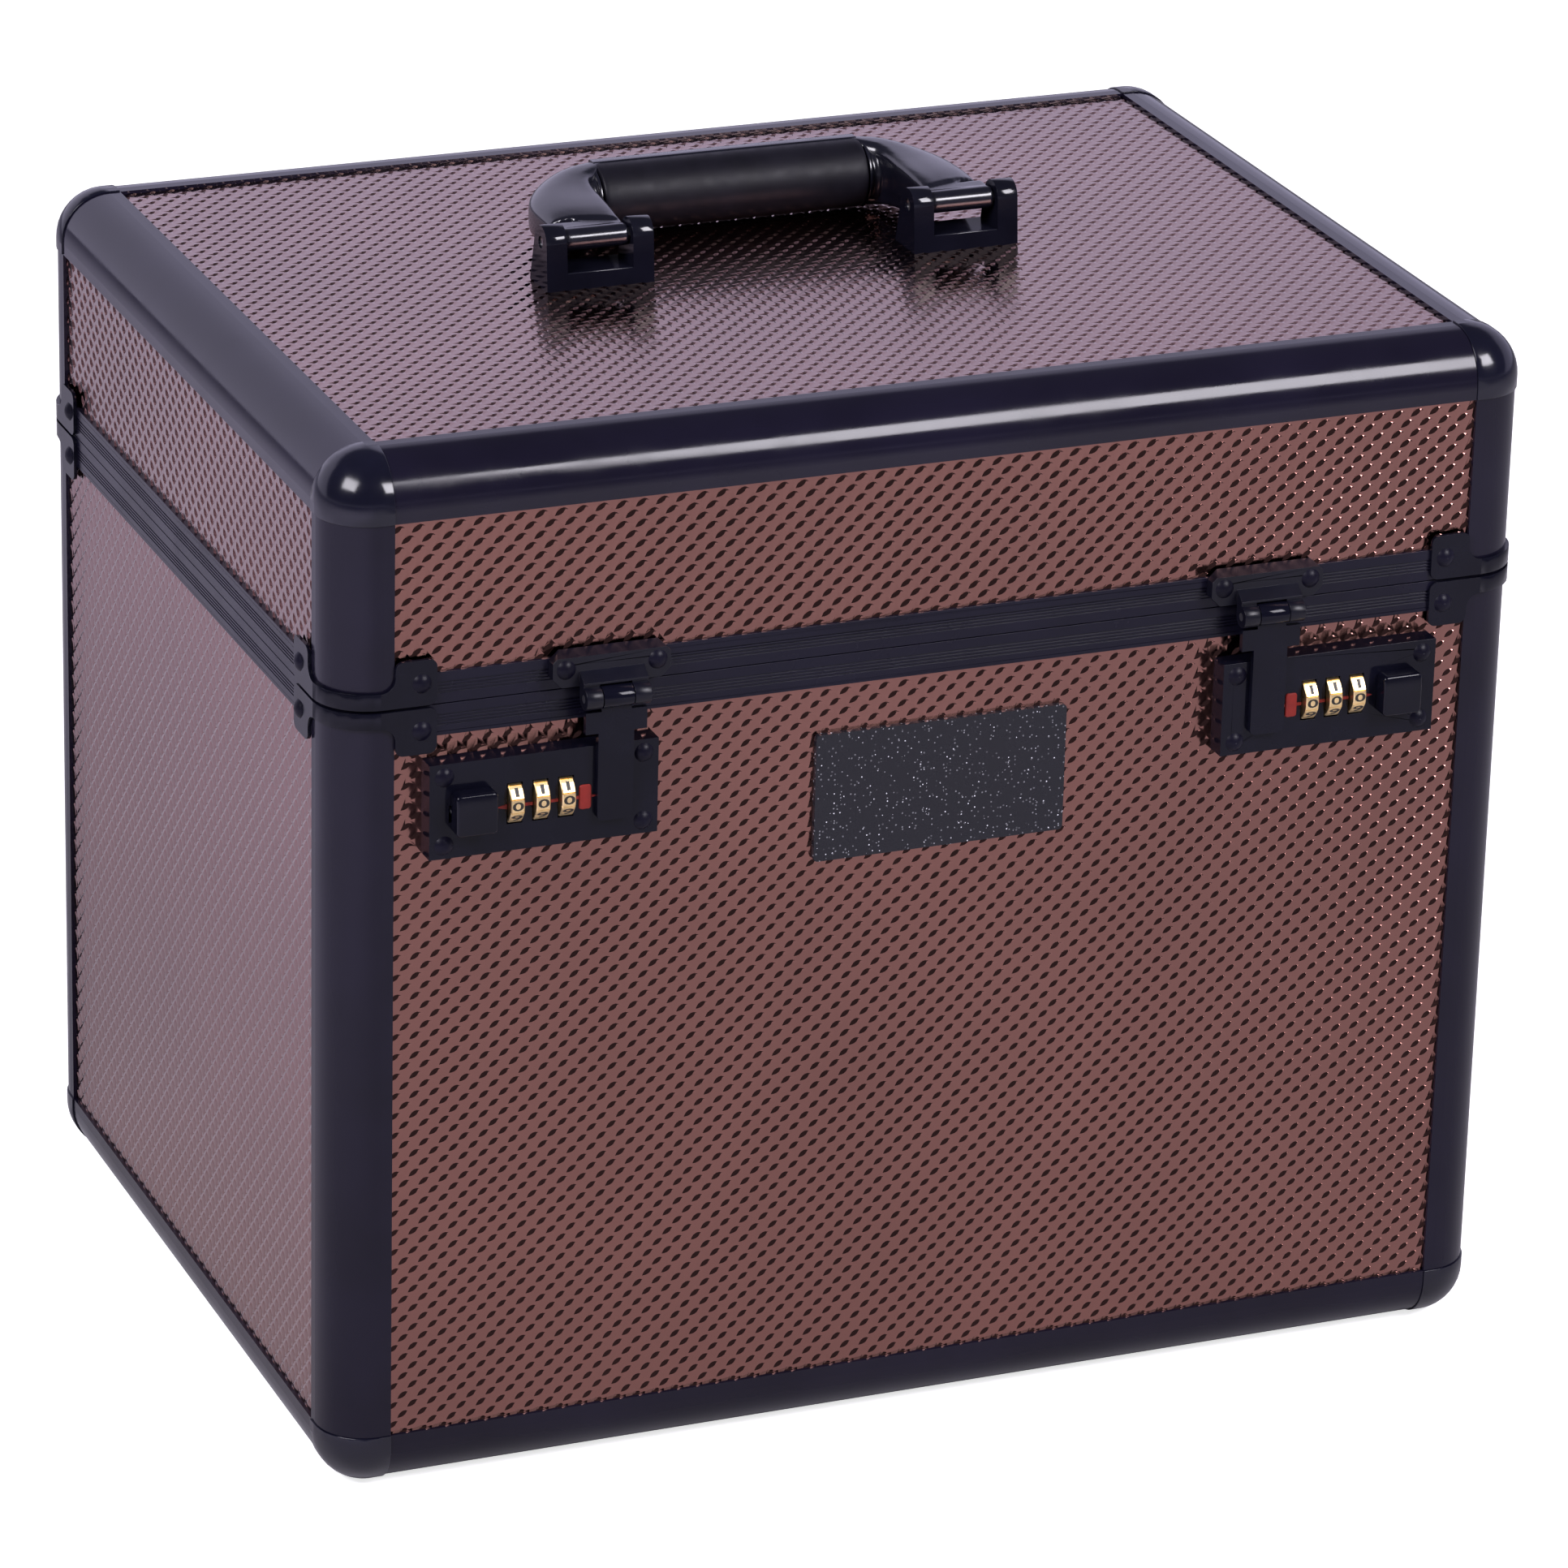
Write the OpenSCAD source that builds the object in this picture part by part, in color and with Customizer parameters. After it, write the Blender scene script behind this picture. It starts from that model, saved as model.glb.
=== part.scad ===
// Grooming box: a framed case with a hinged lid, folding handle, two hasps and two combination locks.
// Millimetres. The origin is on the floor under the middle of the case, the front faces -Y and +Z is up.

/* [Case] */
// Width of the case over its corner caps
case_w = 401; // [380:1:480]
// Depth of the case over its corner caps
case_d = 295; // [250:1:360]
// Height of the case over its corner caps, without the handle
case_h = 345; // [320:1:430]
// Height of the lid above the parting line
lid_h = 79; // [70:1:95]
// Gap between the lid and the body when shut
part_gap = 0.3; // [0.2:0.1:0.8]

/* [Edge frame] */
// Width of the faces of the edge rails
flange = 19.7; // [18:0.1:24]
// Outer rounding of the rails and caps
edge_r = 16; // [10:0.5:17]
// Thickness of the rail lips over the panels
lip_t = 1.4; // [1:0.1:2]
// Thickness of the rail lips behind the panels
back_lip_t = 1.2; // [0.8:0.1:2]
// How far the panels reach into the rails
panel_in = 5; // [3:0.5:6]
// How far the corner caps stand proud of the rails
cap_proud = 0.5; // [0.2:0.1:1]

/* [Panels] */
// Thickness of the panels with their embossed skin
panel_t = 5; // [4:0.5:7]
// Thickness of the lining
lining_t = 1.5; // [1:0.1:3]

/* [Rim] */
// Height of each rim band on its side of the parting line
rim_h = 10.3; // [9:0.1:14]
// Thickness of the rim between its lips
rim_web = 3; // [2:0.1:5]
// Height of the lip inside the body rim that the lid closes over
upstand_h = 4; // [2:0.1:6]
// Thickness of that lip
upstand_t = 1.4; // [1:0.1:2]
// Fine grooves along each rim band
groove_count = 4; // [1:1:5]
// Distance between the grooves
groove_pitch = 1.05; // [0.8:0.05:1.3]
// Width of a groove
groove_w = 0.45; // [0.2:0.05:0.6]
// Depth of a groove
groove_d = 0.35; // [0.1:0.05:0.6]

/* [Corner brackets] */
// Thickness of the bracket plate
bracket_t = 1.2; // [0.8:0.1:2]
// Width of a bracket tab
tab_w = 13.3; // [10:0.1:16]
// Height of a bracket tab from the parting line
tab_h = 15.3; // [13:0.1:16.5]
// Height of the band that wraps the post
band_h = 5.3; // [3:0.1:7]

/* [Rivets] */
// Radius of a domed rivet head
rivet_r = 3.1; // [2.5:0.1:3.5]
// Height of a domed rivet head
rivet_h = 1.5; // [1:0.1:2]
// Radius of a rivet shank
shank_r = 1.4; // [1:0.1:1.8]

/* [Locks] */
// Width of a lock case
lock_w = 74.2; // [73:0.1:84]
// Height of a lock case
lock_h = 31; // [30.2:0.1:33.5]
// How far the lock face stands out from the rails
lock_out = 6.2; // [5.8:0.1:8]
// Wall of the lock case
lock_wall = 1.5; // [1:0.1:2]
// Distance from the corner posts to the outer ends of the lock pair
lock_side = 10.9; // [8:0.1:25]
// Distance of the lock centres below the parting line
lock_down = 32.9; // [32:0.1:40]
// Shift of both locks and hasps sideways, as mounted
latch_shift = -1.7; // [-3:0.1:3]
// Radius of a number wheel
dial_r = 7.4; // [6.5:0.1:7.8]
// Width of a number wheel
dial_w = 4.5; // [4:0.1:5.5]
// Distance between the number wheels
dial_pitch = 8.3; // [7.8:0.1:8.6]
// Radius of the axle through the number wheels
axle_r = 1.5; // [1:0.1:2]
// Width of the square slide button
button_w = 13.4; // [11:0.1:14]
// Height of the square slide button
button_h = 13.4; // [11:0.1:14]
// How far the button stands out of the lock face
button_out = 6; // [4:0.1:7]
// Travel of the slide button
button_travel = 4; // [2:0.1:4]

/* [Hasps] */
// Distance of each hasp inwards from its lock's centre
hasp_in = 22.3; // [21.6:0.1:23]
// Width of the riveted hasp plate
hasp_plate_w = 38.4; // [36:0.1:42]
// Thickness of the riveted hasp plate
hasp_plate_t = 4; // [3:0.1:4.2]
// Radius of the hasp barrel
barrel_r = 3.5; // [3:0.1:3.6]
// How far the barrel axis stands out from the rails
barrel_out = 7.6; // [7.5:0.1:8.5]
// Length of the hasp barrel over its two ears
barrel_w = 21; // [19:0.1:24]
// Width of the hasp leaf below the barrel
leaf_w = 20; // [16:0.1:24]
// Width of the hasp tongue over the lock
tongue_w = 11.6; // [9:0.1:12]
// Thickness of the hasp leaf and tongue
tongue_t = 2; // [1.5:0.1:2.5]

/* [Handle] */
// Distance of each handle base from the middle of the case
handle_x = 63.2; // [58:0.1:75]
// Width of a handle base
base_w = 36.4; // [33:0.1:42]
// Thickness of the ears of a base
ear_t = 7; // [5:0.1:8]
// Radius of the round top of the ears
ear_r = 5.5; // [5:0.1:6.5]
// Height of the handle pivot above the top panel
pivot_up = 15; // [14.6:0.1:18]
// Place of the handle pivot, front to back
pivot_y = -2.8; // [-12:0.1:6]
// Radius of the handle knuckles
knuckle_r = 3.7; // [3.4:0.1:4.2]
// Radius of the handle pins
handle_pin_r = 2; // [1.5:0.1:2.3]
// Distance from the pivot back to the grip axis
grip_reach = 45.5; // [44:0.1:60]
// Depth of the grip axis below the pivot, folded
grip_drop = 2.8; // [1:0.1:3.2]
// Radius of the rubber grip
grip_r = 11.3; // [9.5:0.1:11.7]
// Length of the rubber grip
grip_len = 92; // [80:1:94]
// Radius of the bail's core inside the grip
core_r = 7.2; // [5:0.1:8]

/* [Hinges] */
// Distance from the corner posts to the outer edges of the back hinges
hinge_side = 38.3; // [18:0.1:70]
// Width of a hinge leaf
hinge_w = 44; // [36:1:60]
// Height of a hinge leaf from the parting line
hinge_leaf_h = 26; // [22:1:34]
// Thickness of a hinge leaf over the rail
hinge_t = 1.6; // [1.2:0.1:2]
// Radius of the hinge knuckles
hinge_r = 3.4; // [3:0.1:3.5]
// How far the hinge axis stands out behind the rails
hinge_out = 3.9; // [3.9:0.1:4.5]
// Radius of the hinge pins
hinge_pin_r = 1.6; // [1:0.1:2]

/* [Badge] */
// Width of the plain badge plate
badge_w = 84.6; // [60:0.1:100]
// Height of the plain badge plate
badge_h = 42.4; // [30:0.1:50]
// Thickness of the badge plate
badge_t = 2; // [1:0.1:3]
// Distance of the badge centre below the parting line
badge_down = 47.3; // [45:0.1:75]

/* [Tray] */
// Depth of the lift-out tray
tray_h = 52; // [40:1:60]
// Wall of the tray
tray_wall = 1.8; // [1.2:0.1:3]
// Gap between the tray and the rim lip
tray_gap = 2; // [1:0.1:4]
// How far the tray top lies below the parting line
tray_down = 6; // [4:0.1:12]

/* [Hidden] */
$fn = 64;

// Overrun of cuts past the faces that they leave by
cut = 1;
// Clearances: still fits, running fits on pins, and rest gaps between pieces that part
still_fit = 0.02;
run_fit = 0.06;
rest_gap = 0.3;
side_gap = 0.4;

// Planes of the rail faces and of the parting line
face_x = case_w / 2 - cap_proud;
face_y = case_d / 2 - cap_proud;
floor_z = cap_proud;
roof_z = case_h - cap_proud;
part_z = roof_z - lid_h;
half_gap = part_gap / 2;

// Depths under the rail faces: panel inside face, back lip, lining face, rim upstand
panel_back = lip_t + panel_t;
frame_back = panel_back + back_lip_t;
lining_face = panel_back + lining_t;
slot_at = flange - panel_in;
upstand_gap = 0.6;
upstand_at = panel_back + upstand_gap;
upstand_back = upstand_at + upstand_t;
upstand_end_gap = 1;
lid_lining_gap = 1.5;

// Corner brackets
band_lift = 0.5;
tab_corner_r = 2.6;
bracket_fillet = 4.6;
bracket_rivet_in = 8.4;
bracket_rivet_up = 7.7;

// Lock insides, in the lock's own frame: inwards is towards the middle of the case
lock_x = face_x - flange - lock_side - lock_w / 2;
lock_z = part_z - lock_down;
lock_rivet_side = 4.8;
lock_rivet_edge = 4.3;
lock_rivet_dx = lock_w / 2 - lock_rivet_side;
lock_rivet_dz = lock_h / 2 - lock_rivet_edge;
boss_r = shank_r + lock_wall;
dial_shift = -1.3;
dial_lift = 0;
dial_show = 3.6;
dial_out = lock_out + dial_show - dial_r;
dial_side = 0.3;
cheek_t = 1.6;
cheek_h = 8;
cheek_gap = 0.3;
cheek_at = dial_pitch + dial_w / 2 + cheek_gap;
button_in = 23.5;
button_drop = 1;
head_lift = 0.9;
stem_w = 6;
stem_h = 5;
bolt_t = 2;
bolt_face = lock_out - lock_wall - rest_gap;
carriage_w = 10;
carriage_h = 9;
bar_h = 2.7;
bar_under = 2.4;
bar_top = dial_lift - dial_r - bar_under;
bolt_arm_w = 1.8;
bolt_nose_h = 3;
hasp_x = lock_x - hasp_in;
staple_t = 2.4;
staple_h = 9;
staple_wall = 1.2;
eye_gap = 0.3;
staple_tip = bolt_face - bolt_t - eye_gap - staple_wall;
staple_side = 1.2;
staple_below = 2;
nose_gap = 0.4;
nose_z = -button_drop - bolt_nose_h / 2;
spring_r = 1.6;
spring_bore = 1.1;
spring_out = bolt_face - spring_r;
marker_line_h = 1.2;
marker_line_t = 0.15;
marker_tab_w = 4;
marker_tab_h = 8;
marker_tab_t = 0.5;
marker_tab_in = 13.2;
marker_end = 1.4;
back_plate_t = 1;
back_plate_margin = 1;
rivet_tail_r = 2.4;
rivet_tail_h = 0.7;

// Hasps
hasp_pin_r = 1.3;
barrel_down = 1.2;
barrel_z = part_z - barrel_down;
plate_low = 1.7;
plate_high = 12.9;
plate_chamfer = 3;
plate_top_slope = 1.6;
fold_top = 6.6;
fold_edge = 3.8;
fold_low = 3.1;
fold_over = 0.3;
fold_out = barrel_out + fold_over;
ear_w = 5.3;
knuckle_side = 0.3;
hasp_rivet_side = 4.3;
hasp_rivet_dx = hasp_plate_w / 2 - hasp_rivet_side;
hasp_rivet_up = 7.5;
leaf_top = 5.7;
leaf_bottom = 12.7;
tongue_past = 8.7;
tongue_end = lock_z - tongue_past;
tongue_corner = 2;

// Handle
base_front = 6.9;
base_back = 9.3;
base_floor_t = 5.5;
pin_recess = 0.6;
knuckle_w = base_w - 2 * ear_t - 2 * side_gap;
pivot_z = roof_z - lip_t + pivot_up;
arm_up = 5.9;
arm_down = 6;
arm_clear = 0.7;
arm_start = base_back + arm_clear;
arm_bulge = 0.3;
arm_far = 11.6;
arm_near = 7;
arm_waist = 1.2;
bulge_at_share = 0.5;
waist_at_share = 0.6;
curve_steps = 7;
side_slope_w = 11.8;
side_slope_h = 5.7;
far_slope_w = 7.5;
far_slope_h = 6;
collar_step = 0.9;
collar_r = grip_r - collar_step;
collar_w = 6.5;
collar_gap = 0.6;
collar_at = grip_len / 2 + collar_gap;
screw_r = 1.6;
screw_depth = 9;
screw_y = 1.2;
screw_head_r = 3.4;
screw_head_h = 1.4;
screw_head_room = 1;

// Hinges
knuckle_count = 5;
hinge_gap = 0.3;
hinge_edge = 0.25;
hinge_x = face_x - flange - hinge_side - hinge_w / 2;
hinge_knuckle_w = hinge_w / knuckle_count;
hinge_rivet_side = 9;
hinge_rivet_edge = 7;
hinge_rivet_dx = hinge_w / 2 - hinge_rivet_side;
hinge_rivet_up = hinge_leaf_h - hinge_rivet_edge;

// Badge, tray and ledges
badge_corner = 1.5;
badge_z = part_z - badge_down;
ledge_w = 8;
ledge_h = 6;
ledge_margin = 30;
seat_gap = 0.2;
tray_half_x = face_x - upstand_back - tray_gap;
tray_half_y = face_y - upstand_back - tray_gap;
tray_top = part_z - tray_down;
tray_bottom = tray_top - tray_h;
ledge_top = tray_bottom - seat_gap;
tray_corner = 12;
divider_t = 2.4;
divider_gap = 0.3;
divider_down = 6;
divider_row_share = 0.18;
divider_col_shares = [-0.34, 0.34];

// A flat shape in width and height, stood on the front from o0 to o1 in front of the rails
module front_plate(o0, o1) {
    translate([0, -face_y - o0, 0])
        rotate([90, 0, 0])
            linear_extrude(o1 - o0)
                children();
}

// A flat shape in depth and height, run along X
module x_run(x0, x1) {
    translate([x0, 0, 0])
        rotate([90, 0, 90])
            linear_extrude(x1 - x0)
                children();
}

// A rod along X at a depth and height
module x_rod(x0, x1, y, z, r) {
    translate([x0, y, z])
        rotate([0, 90, 0])
            cylinder(h = x1 - x0, r = r);
}

// A rod along Y, from the distance o0 to o1 in front of the rails
module front_rod(x, z, o0, o1, r) {
    translate([x, -face_y - o0, z])
        rotate([90, 0, 0])
            cylinder(h = o1 - o0, r = r);
}

// A block between two corners
module block(low, high) {
    translate(low)
        cube(high - low);
}

// A rectangle with round corners, centred on its middle
module round_rect(w, h, r) {
    square([w - 2 * r, h], center = true);
    square([w, h - 2 * r], center = true);
    for (sx = [-1, 1], sy = [-1, 1])
        translate([sx * (w / 2 - r), sy * (h / 2 - r)])
            circle(r);
}

// The same child at all four upright edges, drawn for the front left one
module at_corners() {
    for (mx = [0, 1], my = [0, 1])
        mirror([mx, 0, 0])
            mirror([0, my, 0])
                children();
}

// The same child at the front and the back, or at the left and the right
module front_and_back() {
    for (my = [0, 1])
        mirror([0, my, 0])
            children();
}

module left_and_right() {
    for (mx = [0, 1])
        mirror([mx, 0, 0])
            children();
}

// A domed rivet on the front, head out, with its shank back to the depth o0
module front_rivet(x, z, o0, o1) {
    front_rod(x, z, o0, o1, shank_r);
    translate([x, -face_y - o1, z])
        rotate([90, 0, 0])
            rivet_head();
}

// Dome of a rivet head, flat side down
module rivet_head() {
    dome_r = (rivet_r * rivet_r + rivet_h * rivet_h) / (2 * rivet_h);
    intersection() {
        translate([0, 0, rivet_h - dome_r])
            sphere(dome_r);
        cylinder(h = rivet_h, r = rivet_r);
    }
}

// Section of a rail along one edge, from its outer corner, with slots for the two panels
module rail_section() {
    difference() {
        union() {
            intersection() {
                translate([edge_r, edge_r])
                    circle(edge_r);
                square(edge_r);
            }
            translate([edge_r, 0])
                square([flange - edge_r, flange]);
            translate([0, edge_r])
                square([edge_r, flange - edge_r]);
        }
        translate([frame_back, frame_back])
            square(flange);
        translate([slot_at, lip_t])
            square([flange, panel_t]);
        translate([lip_t, slot_at])
            square([panel_t, flange]);
    }
}

// Outline of a cap in side view: rounded at the outer corner, straight to its ends
module cap_section() {
    cap_r = edge_r + cap_proud;
    intersection() {
        translate([0, edge_r])
            circle(cap_r);
        translate([0, -cap_proud])
            square([cap_r, cap_r]);
    }
    translate([0, edge_r])
        square([cap_r, flange - edge_r]);
}

// Ball-nosed corner cap, from the corner of the rail planes, with room for the three panel corners
module corner_cap() {
    difference() {
        union() {
            translate([edge_r, edge_r, 0])
                rotate([0, 0, 180])
                    rotate_extrude(angle = 90)
                        cap_section();
            translate([flange, edge_r, 0])
                rotate([90, 0, -90])
                    linear_extrude(flange - edge_r)
                        cap_section();
            translate([edge_r, edge_r, 0])
                rotate([90, 0, 0])
                    mirror([1, 0, 0])
                        mirror([0, 0, 1])
                            linear_extrude(flange - edge_r)
                                cap_section();
            block([edge_r, edge_r, -cap_proud], [flange, flange, flange]);
        }
        block([frame_back, frame_back, frame_back], [flange + cut, flange + cut, flange + cut]);
        block([slot_at, slot_at, lip_t], [flange + cut, flange + cut, panel_back]);
        block([slot_at, lip_t, slot_at], [flange + cut, panel_back, flange + cut]);
        block([lip_t, slot_at, slot_at], [panel_back, flange + cut, flange + cut]);
    }
}

// Four rails round the foot of the case, or round its top when turned over
module rail_ring() {
    front_and_back()
        translate([0, -face_y, 0])
            x_run(-face_x + flange, face_x - flange)
                rail_section();
    left_and_right()
        translate([-face_x, face_y - flange, 0])
            rotate([90, 0, 0])
                linear_extrude(2 * (face_y - flange))
                    rail_section();
}

// Grooved outer edge of a rim band, upwards from the height h0
function groove_points(h0, h1) =
    let (first = (h0 + h1) / 2 - (groove_count - 1) * groove_pitch / 2)
    [for (i = [0 : groove_count - 1], p = [
        [0, first + i * groove_pitch - groove_w / 2],
        [groove_d, first + i * groove_pitch - groove_w / 2],
        [groove_d, first + i * groove_pitch + groove_w / 2],
        [0, first + i * groove_pitch + groove_w / 2]]) p];

// Section of the body rim, depth from the rail face and height from the parting line
module body_rim_section(with_upstand) {
    polygon(concat(
        [[0, -rim_h]],
        groove_points(-rim_h, -half_gap),
        [[0, -half_gap]],
        with_upstand ? [[upstand_at, -half_gap], [upstand_at, upstand_h], [upstand_back, upstand_h]]
                     : [[upstand_back, -half_gap]],
        [[upstand_back, -rim_h], [panel_back, -rim_h], [panel_back, -half_gap - rim_web],
         [lip_t, -half_gap - rim_web], [lip_t, -rim_h]]));
}

// Section of the lid rim
module lid_rim_section() {
    polygon(concat(
        [[0, half_gap]],
        groove_points(half_gap, rim_h),
        [[0, rim_h], [lip_t, rim_h], [lip_t, half_gap + rim_web],
         [panel_back, half_gap + rim_web], [panel_back, half_gap]]));
}

// A rim ring of four straight lengths between the corner posts, from the two sections given
module rim_ring(short) {
    front_and_back()
        translate([0, -face_y, part_z])
            x_run(-face_x + flange + short, face_x - flange - short)
                children();
    left_and_right()
        translate([-face_x, face_y - flange - short, part_z])
            rotate([90, 0, 0])
                linear_extrude(2 * (face_y - flange - short))
                    children();
}

// Holes for the bracket rivets through whatever lies at the rim
module bracket_rivet_holes(sign) {
    at_corners() {
        bracket_hole(sign);
        swap_xy()
            bracket_hole(sign);
    }
}

module bracket_hole(sign) {
    front_rod(-face_x + flange + bracket_rivet_in, part_z + sign * bracket_rivet_up,
              -lip_t - cut, bracket_t + cut, shank_r + still_fit);
}

// Swaps the front face with the left one at the front left edge
module swap_xy() {
    translate([-face_x, -face_y, 0])
        mirror([1, -1, 0])
            translate([face_x, face_y, 0])
                children();
}

// Flat outline of a bracket on the front face: the riveted tab, its fillet and the start of the band.
// Width from the left end of the rail face, height from the parting line
module bracket_outline() {
    band_top = band_lift + band_h;
    translate([flange + tab_w / 2, (band_lift + tab_h) / 2])
        round_rect(tab_w, tab_h - band_lift, tab_corner_r);
    translate([flange, band_lift])
        square([tab_w / 2, tab_h / 2]);
    difference() {
        translate([flange - bracket_fillet, band_lift])
            square([bracket_fillet + tab_corner_r, band_h + bracket_fillet]);
        translate([flange - bracket_fillet, band_top + bracket_fillet])
            circle(bracket_fillet);
    }
    translate([edge_r, band_lift])
        square([flange - edge_r, band_h]);
}

// One wrap-round bracket above the parting line, at the front left edge
module corner_bracket() {
    difference() {
        union() {
            for (side = [0, 1])
                bracket_side(side)
                    front_plate(0, bracket_t)
                        translate([-face_x, part_z])
                            bracket_outline();
            translate([-face_x + edge_r, -face_y + edge_r, part_z + band_lift])
                linear_extrude(band_h)
                    difference() {
                        intersection() {
                            circle(edge_r + bracket_t);
                            translate([-edge_r - bracket_t, -edge_r - bracket_t])
                                square(edge_r + bracket_t);
                        }
                        circle(edge_r);
                    }
        }
        for (side = [0, 1])
            bracket_side(side)
                bracket_hole(1);
    }
}

module bracket_side(side) {
    if (side == 0)
        children();
    else
        swap_xy()
            children();
}

// Turns a shape above the parting line over to below it
module below_parting() {
    translate([0, 0, part_z])
        mirror([0, 0, 1])
            translate([0, 0, -part_z])
                children();
}

// Rivets of the brackets above the parting line
module bracket_rivets() {
    at_corners()
        for (side = [0, 1])
            bracket_side(side)
                front_rivet(-face_x + flange + bracket_rivet_in, part_z + bracket_rivet_up,
                            -lip_t, bracket_t);
}

// Places a shape drawn round a lock's centre, inwards to the right, at the left or right lock
module at_lock(right) {
    translate([(right ? lock_x : -lock_x) + latch_shift, 0, lock_z])
        mirror([right ? 1 : 0, 0, 0])
            children();
}

// Places a shape drawn round a hasp's middle
module at_hasp(right) {
    translate([(right ? hasp_x : -hasp_x) + latch_shift, 0, 0])
        children();
}

// Opening in the front panel behind the number wheels
module dial_window() {
    room = dial_r + side_gap;
    block([dial_shift - cheek_at, -face_y, dial_lift - room],
          [dial_shift + cheek_at, -face_y + panel_back + cut, dial_lift + room]);
}

module lock_rivet_holes(o0, o1) {
    for (sx = [-1, 1], sz = [-1, 1])
        front_rod(sx * lock_rivet_dx, sz * lock_rivet_dz, o0, o1, shank_r + still_fit);
}

// Holes of both locks and the badge's place in what lies behind the front face
module lock_holes() {
    for (right = [false, true])
        at_lock(right) {
            dial_window();
            lock_rivet_holes(-panel_back - cut, cut);
        }
}

// Slots in the lock face for the three number wheels
module dial_slots() {
    half = dial_w / 2 + dial_side;
    for (i = [-1, 0, 1])
        x_rod(dial_shift + i * dial_pitch - half, dial_shift + i * dial_pitch + half,
              -face_y - dial_out, dial_lift, dial_r + dial_side);
}

// Staple on the back of a hasp tongue, and the room that it needs, round the lock centre
module staple_block(spare, top) {
    block([hasp_in - staple_t / 2 - spare, -face_y - lock_out - rest_gap, -staple_h / 2 - spare],
          [hasp_in + staple_t / 2 + spare, -face_y - staple_tip, top]);
}

// Lock case: a shell open at the back, with rivet bosses and cheeks for the wheel axle
module lock_case() {
    difference() {
        union() {
            difference() {
                front_plate(-lip_t, lock_out)
                    square([lock_w, lock_h], center = true);
                front_plate(-lip_t - cut, lock_out - lock_wall)
                    square([lock_w - 2 * lock_wall, lock_h - 2 * lock_wall], center = true);
            }
            for (sx = [-1, 1], sz = [-1, 1])
                front_rod(sx * lock_rivet_dx, sz * lock_rivet_dz, -lip_t, lock_out - lock_wall / 2, boss_r);
            for (side = [-1, 1])
                translate([dial_shift + side * (cheek_at + cheek_t / 2), 0, 0])
                    front_plate(-lip_t, lock_out - lock_wall / 2)
                        translate([0, dial_lift])
                            square([cheek_t, cheek_h], center = true);
        }
        dial_slots();
        lock_rivet_holes(-lip_t - cut, lock_out + cut);
        x_rod(dial_shift - lock_w / 2 + 2 * lock_wall, dial_shift + lock_w / 2 - 2 * lock_wall,
              -face_y - dial_out, dial_lift, axle_r + still_fit);
        button_slot();
        staple_channel();
    }
}

// Slot in the lock face that the button's stem slides in
module button_slot() {
    block([-button_in - stem_w / 2 - button_travel - rest_gap, -face_y - lock_out - cut,
           -button_drop - stem_h / 2 - rest_gap],
          [-button_in + stem_w / 2 + rest_gap, -face_y, -button_drop + stem_h / 2 + rest_gap]);
}

// Channel in the lock face behind the tongue, open at the top
module staple_channel() {
    half = staple_t / 2 + staple_side;
    block([hasp_in - half, -face_y - lock_out - cut, -staple_h / 2 - staple_below],
          [hasp_in + half, -face_y - staple_tip + rest_gap, lock_h / 2 + cut]);
}

// Slide button with its stem, carriage and bolt
module lock_button() {
    back = bolt_face - bolt_t;
    nose_at = hasp_in - staple_t / 2 - nose_gap;
    arm_at = nose_at - 2 * bolt_arm_w;
    front_plate(lock_out + rest_gap, lock_out + button_out)
        translate([-button_in, head_lift - button_drop])
            square([button_w, button_h], center = true);
    front_plate(back, lock_out + rest_gap)
        translate([-button_in, -button_drop])
            square([stem_w, stem_h], center = true);
    front_plate(back, bolt_face) {
        translate([-button_in, -button_drop])
            square([carriage_w, carriage_h], center = true);
        translate([-button_in, bar_top - bar_h])
            square([carriage_w / 2, -button_drop - bar_top + bar_h]);
        translate([-button_in, bar_top - bar_h])
            square([button_in + arm_at + bolt_arm_w, bar_h]);
        translate([arm_at, bar_top - bar_h])
            square([bolt_arm_w, nose_z + bolt_nose_h - bar_top + bar_h]);
        translate([arm_at, nose_z])
            square([nose_at - arm_at, bolt_nose_h]);
    }
}

// Return spring beside the carriage, as a sleeve of its outer shape
module lock_spring() {
    x0 = -lock_w / 2 + lock_wall;
    x1 = -button_in - carriage_w / 2;
    difference() {
        x_rod(x0, x1, -face_y - spring_out, -button_drop, spring_r);
        x_rod(x0 - cut, x1 + cut, -face_y - spring_out, -button_drop, spring_bore);
    }
}

// One number wheel: -1 is the outer, 1 the inner one
module dial(index) {
    x0 = dial_shift + index * dial_pitch - dial_w / 2;
    difference() {
        x_rod(x0, x0 + dial_w, -face_y - dial_out, dial_lift, dial_r);
        x_rod(x0 - cut, x0 + dial_w + cut, -face_y - dial_out, dial_lift, axle_r + run_fit);
    }
}

// Red line across the lock face, broken at the wheels, and the red tab at its inner end
module lock_marker() {
    x0 = dial_shift - cheek_at - cheek_t - marker_end;
    x1 = marker_tab_in + marker_tab_w / 2 + marker_end;
    difference() {
        front_plate(lock_out, lock_out + marker_line_t)
            translate([x0, -marker_line_h / 2])
                square([x1 - x0, marker_line_h]);
        dial_slots();
    }
    front_plate(lock_out, lock_out + marker_tab_t)
        translate([marker_tab_in, -button_drop])
            square([marker_tab_w, marker_tab_h], center = true);
}

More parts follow.
